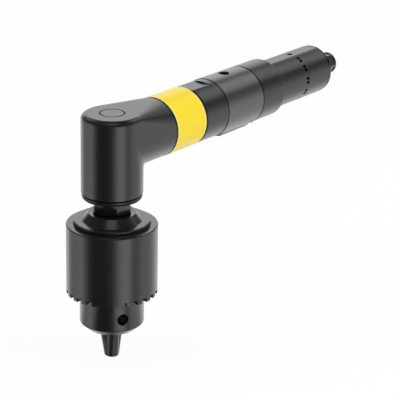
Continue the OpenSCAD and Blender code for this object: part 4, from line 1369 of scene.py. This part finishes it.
@dataclass
class Handle(SubAssembly):
    """The yellow coupling ring, the gear case, the motor barrel and the start lever.

    Attributes:
        ring_start: Station where the coupling ring begins.
        ring_end: Station where the gear case begins.
        case_end: Station where the motor barrel begins.
        barrel_end: Station of the seam with the rear housing.
        chamfer: Chamfer on the rims of the turned pieces.
        flat_height: Distance of the wrench flats from the handle axis.
        flat_lean: How far the wall behind a flat leans back, for each millimetre of its height.
        pivot_x: Station of the lever's hinge.
        pivot_z: Height of the lever's hinge.
        lug_half: Half the width of the lever's lug.
        valve_x: Station of the throttle valve.
        lever_front: Station where the lever's plate begins.
    """

    ring_start: float = from_cad("angle_head", 0)
    ring_end: float = from_cad("coupling_ring", 0)
    case_end: float = from_cad("gear_case", 0)
    barrel_end: float = from_cad("motor_barrel", 0)
    chamfer: float = 0.35
    flat_height: float = 13.52
    flat_lean: float = 0.36
    pivot_x: float = 94.5
    pivot_z: float = -11.0
    lug_half: float = 5.0
    valve_x: float = 82.5
    lever_front: float = from_cad("start_lever", 0, False, 3.8)

    def coupling_ring(self) -> Piece:
        """Make the yellow ring with its inner web and spigot.

        Returns:
            The ring.
        """
        radius, start, end, rim = edge("coupling_ring", 1), self.ring_start, self.ring_end, self.chamfer
        return crisp(turned("coupling_sleeve", [
            (SPIGOT_R, start - 2.5), (SPIGOT_R, start), (radius - rim, start), (radius, start + rim),
            (radius, end - rim), (radius - rim, end), (SOCKET_R, end), (SOCKET_R, start + 2.5),
            (10, start + 2.5), (10, start - 2.5)], Axis.HANDLE))

    def gear_case(self) -> Piece:
        """Make the gear case with its wrench flats and inner teeth.

        Returns:
            The gear case.
        """
        radius, start, end = edge("gear_case", 1), self.ring_end, self.case_end
        inner, front, depth = edge("gear_case", 0, False), 1.3, 5.2
        case = turned("gear_case_body", [
            (9.5, inner), (SPIGOT_R, inner), (SPIGOT_R, start), (radius - front, start),
            (radius, start + front, 0.06), (radius, end, self.chamfer), (SOCKET_R, end),
            (SOCKET_R, end - depth), (MOTOR_R, end - depth), (MOTOR_R, 50.6), (10.45, 50.6),
            (10.45, TEETH_START), (10.3, TEETH_START), (10.3, 38.4), (9.5, 38.4)], Axis.HANDLE)
        lean = Matrix.Identity(4)
        lean[0][2], lean[0][3] = -self.flat_lean, self.flat_lean * radius
        flat = block("wrench_flat", (start - 1, -FAR, self.flat_height), (end - 4.2, FAR, FAR), lean)
        tooth = [(-0.6, 10.2), (0.6, 10.2), (0.23, 11.45), (-0.23, 11.45)]
        space = lofted("tooth_space", [[(x, y, z) for y, z in tooth] for x in (TEETH_START, 50.3)])
        return carve(case, [
            around("wrench_flats", flat, (0, 180), Axis.HANDLE),
            around("tooth_spaces", space, [10.0 * k for k in range(36)], Axis.HANDLE)])

    def motor_barrel(self) -> Piece:
        """Make the motor barrel with its lever pocket, valve bore and air ways.

        Returns:
            The barrel.
        """
        radius, start, end = edge("motor_barrel", 1), self.case_end, self.barrel_end
        x, z, valve = self.pivot_x, self.pivot_z, self.valve_x
        front, shoulder, wall = self.lever_front - 0.5, start - 5.1, 78.9
        barrel = turned("motor_barrel_body", [
            (0, wall), (MOTOR_R, wall), (MOTOR_R, shoulder), (SPIGOT_R, shoulder), (SPIGOT_R, start),
            (radius, start, self.chamfer), (radius, end, self.chamfer), (8.02, end), (8.02, end - 6.8),
            (4.52, end - 6.8), (4.52, 88.5), (2.2, 88.5), (2.2, valve), (0, valve)], Axis.HANDLE)
        far_side, half = FAR * 2, self.lug_half + 0.3
        way = peg("exhaust_way", EXHAUST_R, (78, EXHAUST_OUT, 0), (far_side, EXHAUST_OUT, 0), steps=31)
        pocket = [(12.3, front), (FAR, front), (FAR, far_side), (12.3, far_side)]
        return carve(barrel, [
            around("exhaust_ways", way, EXHAUST_TURNS, Axis.HANDLE),
            cross_peg("pin_bore", 1.0, x, z, 9.2, 46),
            peg("valve_bore", 2.5, (valve, 0, -10), (valve, 0, 6.01), steps=46),
            arc_bar("lever_pocket", pocket, 14.6, 25),
            block("lug_room", (x - 2.2, -half, -FAR), (x + FAR, half, z)),
            cross_peg("lug_round", 2.2, x, z, half),
            peg("valve_mouth", 2.75, (valve, 0, 6), (valve, 0, FAR))])

    def start_lever(self) -> Piece:
        """Make the start lever, a curved plate with a lug for its hinge pin.

        Returns:
            The lever.
        """
        inner, outer = 13.7, edge("motor_barrel", 1) + 0.92
        start, end = self.lever_front, edge("start_lever", 0)
        x, z, half, eye, width = self.pivot_x, self.pivot_z, self.lug_half, 1.9, 14.0
        lever = arc_bar("lever_plate", [
            (inner, start), (outer - 0.7, start), (outer, start + 0.7), (outer, end - 2.7),
            (outer - 0.97, end), (inner, end)], width)
        for side, turn in ((1, -36.87), (-1, 216.87)):
            slope = Matrix.Translation((0, side * width / 2, -12.3)) @ Matrix.Rotation(math.radians(turn), 4, "X")
            combine(lever, block("lever_bevel", (0, 0, -FAR), (FAR * 2, FAR, FAR), slope))
        combine(lever, block("lug_foot", (x - eye, -half, z - 2.9), (x + eye, half, z)), "UNION")
        combine(lever, cross_peg("lug_eye", eye, x, z, half), "UNION")
        combine(lever, cross_peg("pin_hole", 1.05, x, z, 9))
        return crisp(soften(lever, 0.15))

    def build(self) -> None:
        """Make the four pieces."""
        self.add(self.coupling_ring(), "housing", "yellow_coat", "coupling_ring")
        self.add(self.gear_case(), "housing", "satin_black_handle", "gear_case")
        self.add(self.motor_barrel(), "housing", "barrel_black", "motor_barrel")
        self.add(self.start_lever(), "lever", "satin_black_handle", "start_lever")


@dataclass
class RearEnd(SubAssembly):
    """The rear housing with its exhaust holes and the air inlet.

    Attributes:
        start: Station of the seam with the barrel.
        seat_end: Station of the step.
        end: Station of the rear face.
        tool_end: Station where the inlet ends.
        rear_r: Radius of the slim rear section.
        flat: Height of the flat on top of it.
        vent_x: Station of the exhaust holes.
        vent_r: Half the width of an exhaust hole round the housing.
        vent_stretch: How much longer it is along the housing.
        vent_angles: Height angle of each pair of exhaust holes.
        vent_pair: Angle between the holes of a pair.
    """

    start: float = from_cad("motor_barrel", 0)
    seat_end: float = 113.8
    end: float = from_cad("rear_housing", 0)
    tool_end: float = from_cad("inlet_bush", 0)
    rear_r: float = 12.3
    flat: float = 11.93
    vent_x: float = 137.2
    vent_r: float = 0.88
    vent_stretch: float = 1.35
    vent_angles: tuple[float, ...] = (59.0, 33.5, 3.0, -27.5, -58.0)
    vent_pair: float = 9.4

    def vent(self) -> Piece:
        """Make the cutter of one oval exhaust hole, at angle 0.

        Returns:
            The cutter.
        """
        x, flare = self.vent_x, 0.05
        hole = peg("vent", self.vent_r, (x, 9.8, 0), (x, self.rear_r + flare, 0), flare=flare, steps=32)
        centre = Matrix.Translation((x * MM, 0, 0))
        hole.data.transform(centre @ Matrix.Diagonal((self.vent_stretch, 1, 1, 1)) @ centre.inverted())
        return hole

    def housing(self) -> Piece:
        """Make the rear housing with its flat and holes.

        Returns:
            The housing.
        """
        seat_r, r, start, end, step = edge("rear_housing", 1), self.rear_r, self.start, self.end, self.seat_end
        front, back, room = start - 6.7, end - 8.1, start + 3.3
        shell = turned("rear_housing_body", [
            (4.55, front), (8, front), (8, start), (seat_r - 0.75, start), (seat_r, start + 0.75, 0.06),
            (seat_r, step, 0.35), (r, step, 0.25), (r, end - 1.75, 0.05), (r - 1.3, end - 1.75),
            (r - 0.15, end - 0.6, 0.1), (r - 0.7, end, 0.15), (7, end), (7, back), (10.8, back),
            (10.8, room), (4.55, room)], Axis.HANDLE)
        way = peg("exhaust_way", EXHAUST_R, (start - 1, EXHAUST_OUT, 0), (room + 1, EXHAUST_OUT, 0))
        turns = [a + half * self.vent_pair for a in self.vent_angles for half in (-0.5, 0.5)]
        x, z = self.vent_x + 0.3, self.flat + 0.1
        return carve(shell, [
            block("rear_flat", (step, -FAR, self.flat), (FAR * 3, FAR, FAR)),
            around("exhaust_ways", way, EXHAUST_TURNS, Axis.HANDLE),
            around("vents", self.vent(), [*turns, *(180 - a for a in turns)], Axis.HANDLE),
            peg("flat_hole", 1.3, (x, 0, z - 3), (x, 0, z), flare=0.1)])

    def inlet(self) -> Piece:
        """Make the inlet bush with its collar, hexagon and threaded bore.

        Returns:
            The bush.
        """
        flats, neck, rim, seat = 10.0, 4.9, 5.5, 4.52
        start, end = self.end, self.tool_end
        lip, lip_end, head, bore_end = end - 5.6, end - 5.0, end - 1.2, end - 12
        bush = turned("inlet_fitting", [
            (seat, start - 10.1), (6.98, start - 10.1), (6.98, start), (8.2, start, 0.3), (8.2, start + 1.6, 0.4),
            (neck, start + 1.6, 0.2), (neck, lip), (rim, lip, 0.2), (rim, lip_end, 0.2), (neck, lip_end),
            (neck, head), (rim, head, 0.1), (rim, end, 0.35), (3.5, end, 0.3), (3.5, bore_end), (3.22, bore_end),
            (3.22, bore_end - 0.6), (2.6, bore_end - 0.6), (2.6, start - 6), (seat, start - 6)],
            Axis.HANDLE)
        corner = flats / 2 / math.cos(math.pi / 6)
        nut = turned("hexagon", [(4.5, lip_end), (corner, lip_end), (corner, head), (4.5, head)],
                     Axis.HANDLE, steps=6)
        combine(bush, nut, "UNION")
        return crisp(bush)

    def build(self) -> None:
        """Make the two pieces."""
        self.add(self.housing(), "housing", "satin_black_handle", "rear_housing")
        self.add(self.inlet(), "housing", "inlet_black", "inlet_bush")


@dataclass
class Chuck(SubAssembly):
    """The spindle and the keyed three jaw chuck on it.

    Attributes:
        tip: Height of the closed jaws' mouth.
        body_low: Height of the body's lower face.
        sleeve_low: Height of the sleeve's toothed end.
        sleeve_high: Height of the sleeve's upper end.
        collar_low: Height of the body's shoulder under its collar.
        body_r: Radius of the body under the sleeve.
        jaw_angles: Where the jaws stand, in degrees.
        bore_steps: Number of faces round the bore of each jaw, where no two may match.
        key_angles: Where the key holes stand, in degrees.
        key_z: Height of the key holes.
        teeth: Number of key teeth.
        tooth_turn: Angle of the first notch, in degrees.
        jaw_tilt: Tilt of the jaws' bores, in degrees.
        nose_tilt: Tilt of the jaws' noses, in degrees.
    """

    tip: float = from_cad("chuck_jaw_1", 2, False)
    body_low: float = from_cad("chuck_body", 2, False)
    sleeve_low: float = from_cad("chuck_sleeve", 2, False)
    sleeve_high: float = from_cad("chuck_sleeve", 2)
    collar_low: float = from_cad("chuck_sleeve", 2, True, -1.9)
    body_r: float = 15.2
    jaw_angles: tuple[float, ...] = (-126.0, -6.0, 114.0)
    bore_steps: tuple[int, ...] = (71, 73, 77)
    key_angles: tuple[float, ...] = (-119.0, 1.0, 121.0)
    key_z: float = -82.5
    teeth: int = 24
    tooth_turn: float = -139.0
    jaw_tilt: float = 15.0
    nose_tilt: float = 10.0

    def spindle(self) -> Piece:
        """Make the spindle with its wrench flats and key slot.

        Returns:
            The spindle.
        """
        neck_r, flats_top, end, journal = 8.46, -26.4, -49.5, -5.2
        spindle = turned("spindle_shaft", [
            (0, end), (6, end), (6, NECK_LOW), (neck_r, NECK_LOW), (neck_r, LOWER_SEAT - 1),
            (7.5, LOWER_SEAT - 1), (7.5, LOWER_SEAT), (6, LOWER_SEAT), (6, LOWER_REST), (5, LOWER_REST),
            (5, journal), (3, journal), (3, 10.5), (0, 10.5)], Axis.CHUCK)
        flat = block("neck_flat", (-FAR, 7.0, flats_top - 6.1), (FAR, FAR, flats_top))
        slot = block("key_slot", (-6, -1.05, -14), (1.05, 1.05, -8))
        return carve(spindle, [around("neck_flats", flat, (0, 180), Axis.CHUCK), slot])

    def jaw_line(self, along: float) -> Vector:
        """Give the point of a jaw's axis at angle 0, a length up from the tip plane."""
        tilt = math.radians(self.jaw_tilt)
        return Vector((-0.6 + along * math.sin(tilt), 0, self.tip + along * math.cos(tilt)))

    def jaw_bores(self) -> Piece:
        """Make the cutter of the three slanted jaw bores.

        Returns:
            The cutter.
        """
        bores: list[Piece] = []
        for angle, steps in zip(self.jaw_angles, self.bore_steps):
            bore = peg("jaw_bore", 4.25, self.jaw_line(-20), self.jaw_line(61.5), steps=steps)
            combine(bore, drum("jaw_bore_end", -47.14, FAR, 12))
            bores.append(around("jaw_bores", bore, (angle,), Axis.CHUCK))
        for other in bores[1:]:
            combine(bores[0], other, "UNION")
        return bores[0]

    def body(self) -> Piece:
        """Make the chuck body with its jaw bores and key holes.

        Returns:
            The body.
        """
        collar, r, low, cone_low = edge("chuck_body", 1), self.body_r, self.body_low, -37.3
        body = turned("chuck_core", [
            (0, -58), (5.3, -58), (5.3, low), (r - 3.4, low, 0.6), (r - 0.15, low + 3, 0.15), (r - 0.4, low + 3.1),
            (r, low + 3.5, 0.1), (r, self.collar_low), (collar, self.collar_low), (collar, cone_low, 0.4),
            (14.2, cone_low, 0.1), (11.2, NECK_LOW, 0.2), (6.02, NECK_LOW), (6.02, -50), (0, -50)], Axis.CHUCK)
        nut_low, nut_high = -71.6, -66.4
        groove = turned("nut_groove", [(12.98, nut_low), (FAR, nut_low), (FAR, nut_high), (14.37, nut_high)],
                        Axis.CHUCK)
        key = peg("key_hole", 2.8, (11.6, 0, self.key_z), (r + 0.25, 0, self.key_z), flare=0.2, point=2.6)
        return carve(body, [self.jaw_bores(), groove, around("key_holes", key, self.key_angles, Axis.CHUCK)])

    def sleeve(self) -> Piece:
        """Make the sleeve with its ring of key teeth.

        Returns:
            The sleeve.
        """
        radius, low, high, step = edge("chuck_sleeve", 1), self.sleeve_low, self.sleeve_high, self.collar_low
        web, bore, mouth = -71.5, 15.3, 18.0
        sleeve = turned("chuck_shell", [
            (bore, low), (radius, low, 0.3), (radius, high, 0.6), (mouth, high, 0.15), (mouth, step), (19.7, step),
            (19.7, web), (bore, web)], Axis.CHUCK)
        inner, tooth_height, half = self.body_r + 1, 2.3, 1.5
        rise = math.atan2(tooth_height, radius - inner)
        tilt = Matrix.Translation((inner, 0, low)) @ Matrix.Rotation(-rise, 4, "Y")
        notch = block("key_notch", (0, -half, -4), (FAR, half, 0), tilt)
        turns = [self.tooth_turn + 360 / self.teeth * k for k in range(self.teeth)]
        return carve(sleeve, [around("key_notches", notch, turns, Axis.CHUCK)])

    def jaw(self, number: int, angle: float) -> Piece:
        """Make one jaw: a tilted round bar with a slimmer nose and two ground faces.

        Args:
            number: Number of the jaw.
            angle: Where it stands, in degrees.

        Returns:
            The jaw.
        """
        join, top, lean = self.body_low + 1.5, self.tip + 40.1, math.radians(self.nose_tilt)
        shaft = peg(f"jaw_bar_{number}", 4.2, self.jaw_line(-10), self.jaw_line(60), steps=BORE_STEPS)
        combine(shaft, drum("above", top, FAR))
        combine(shaft, drum("below", -FAR * 3, join))
        way = Vector((math.sin(lean), 0, math.cos(lean)))
        foot = Vector((0.5, 0, self.tip)) - 10 * way
        nose = peg("nose", 3.0, foot, foot + 40 * way, steps=BORE_STEPS)
        combine(nose, drum("over", join + 0.01, FAR))
        combine(nose, drum("under", -FAR * 3, self.tip))
        combine(shaft, nose, "UNION")
        for side in (1, -1):
            turn = Matrix.Translation((0.15, 0, 0)) @ Matrix.Rotation(side * math.radians(60), 4, "Z")
            y0, y1 = sorted((0.0, side * FAR))
            combine(shaft, block("ground_face", (-FAR, y0, -FAR * 3), (FAR, y1, FAR), turn))
        soften(shaft, 0.12)
        shaft.data.transform(Matrix.Rotation(math.radians(angle), 4, "Z"))
        return crisp(shaft)

    def build(self) -> None:
        """Make the spindle, the body, the sleeve and the jaws."""
        self.add(self.spindle(), "spindle", "spindle_black", "spindle")
        self.add(self.body(), "spindle", "chuck_black", "chuck_body")
        self.add(self.sleeve(), "sleeve", "chuck_black", "chuck_sleeve")
        for number, angle in enumerate(self.jaw_angles, 1):
            self.add(self.jaw(number, angle), f"jaw_{number}", "jaw_steel", f"chuck_jaw_{number}")


# The whole tool


def main() -> None:
    """Build and dress the whole tool."""
    logging.basicConfig(level=logging.INFO, format="%(name)s: %(message)s")
    shop = PaintShop()
    shop.stock()
    shop.coat_cad()
    for group in (AngleHead(), Handle(), RearEnd(), Chuck()):
        group.build()
        group.dress(shop)
    Studio().build()


if __name__ == "__main__":
    main()
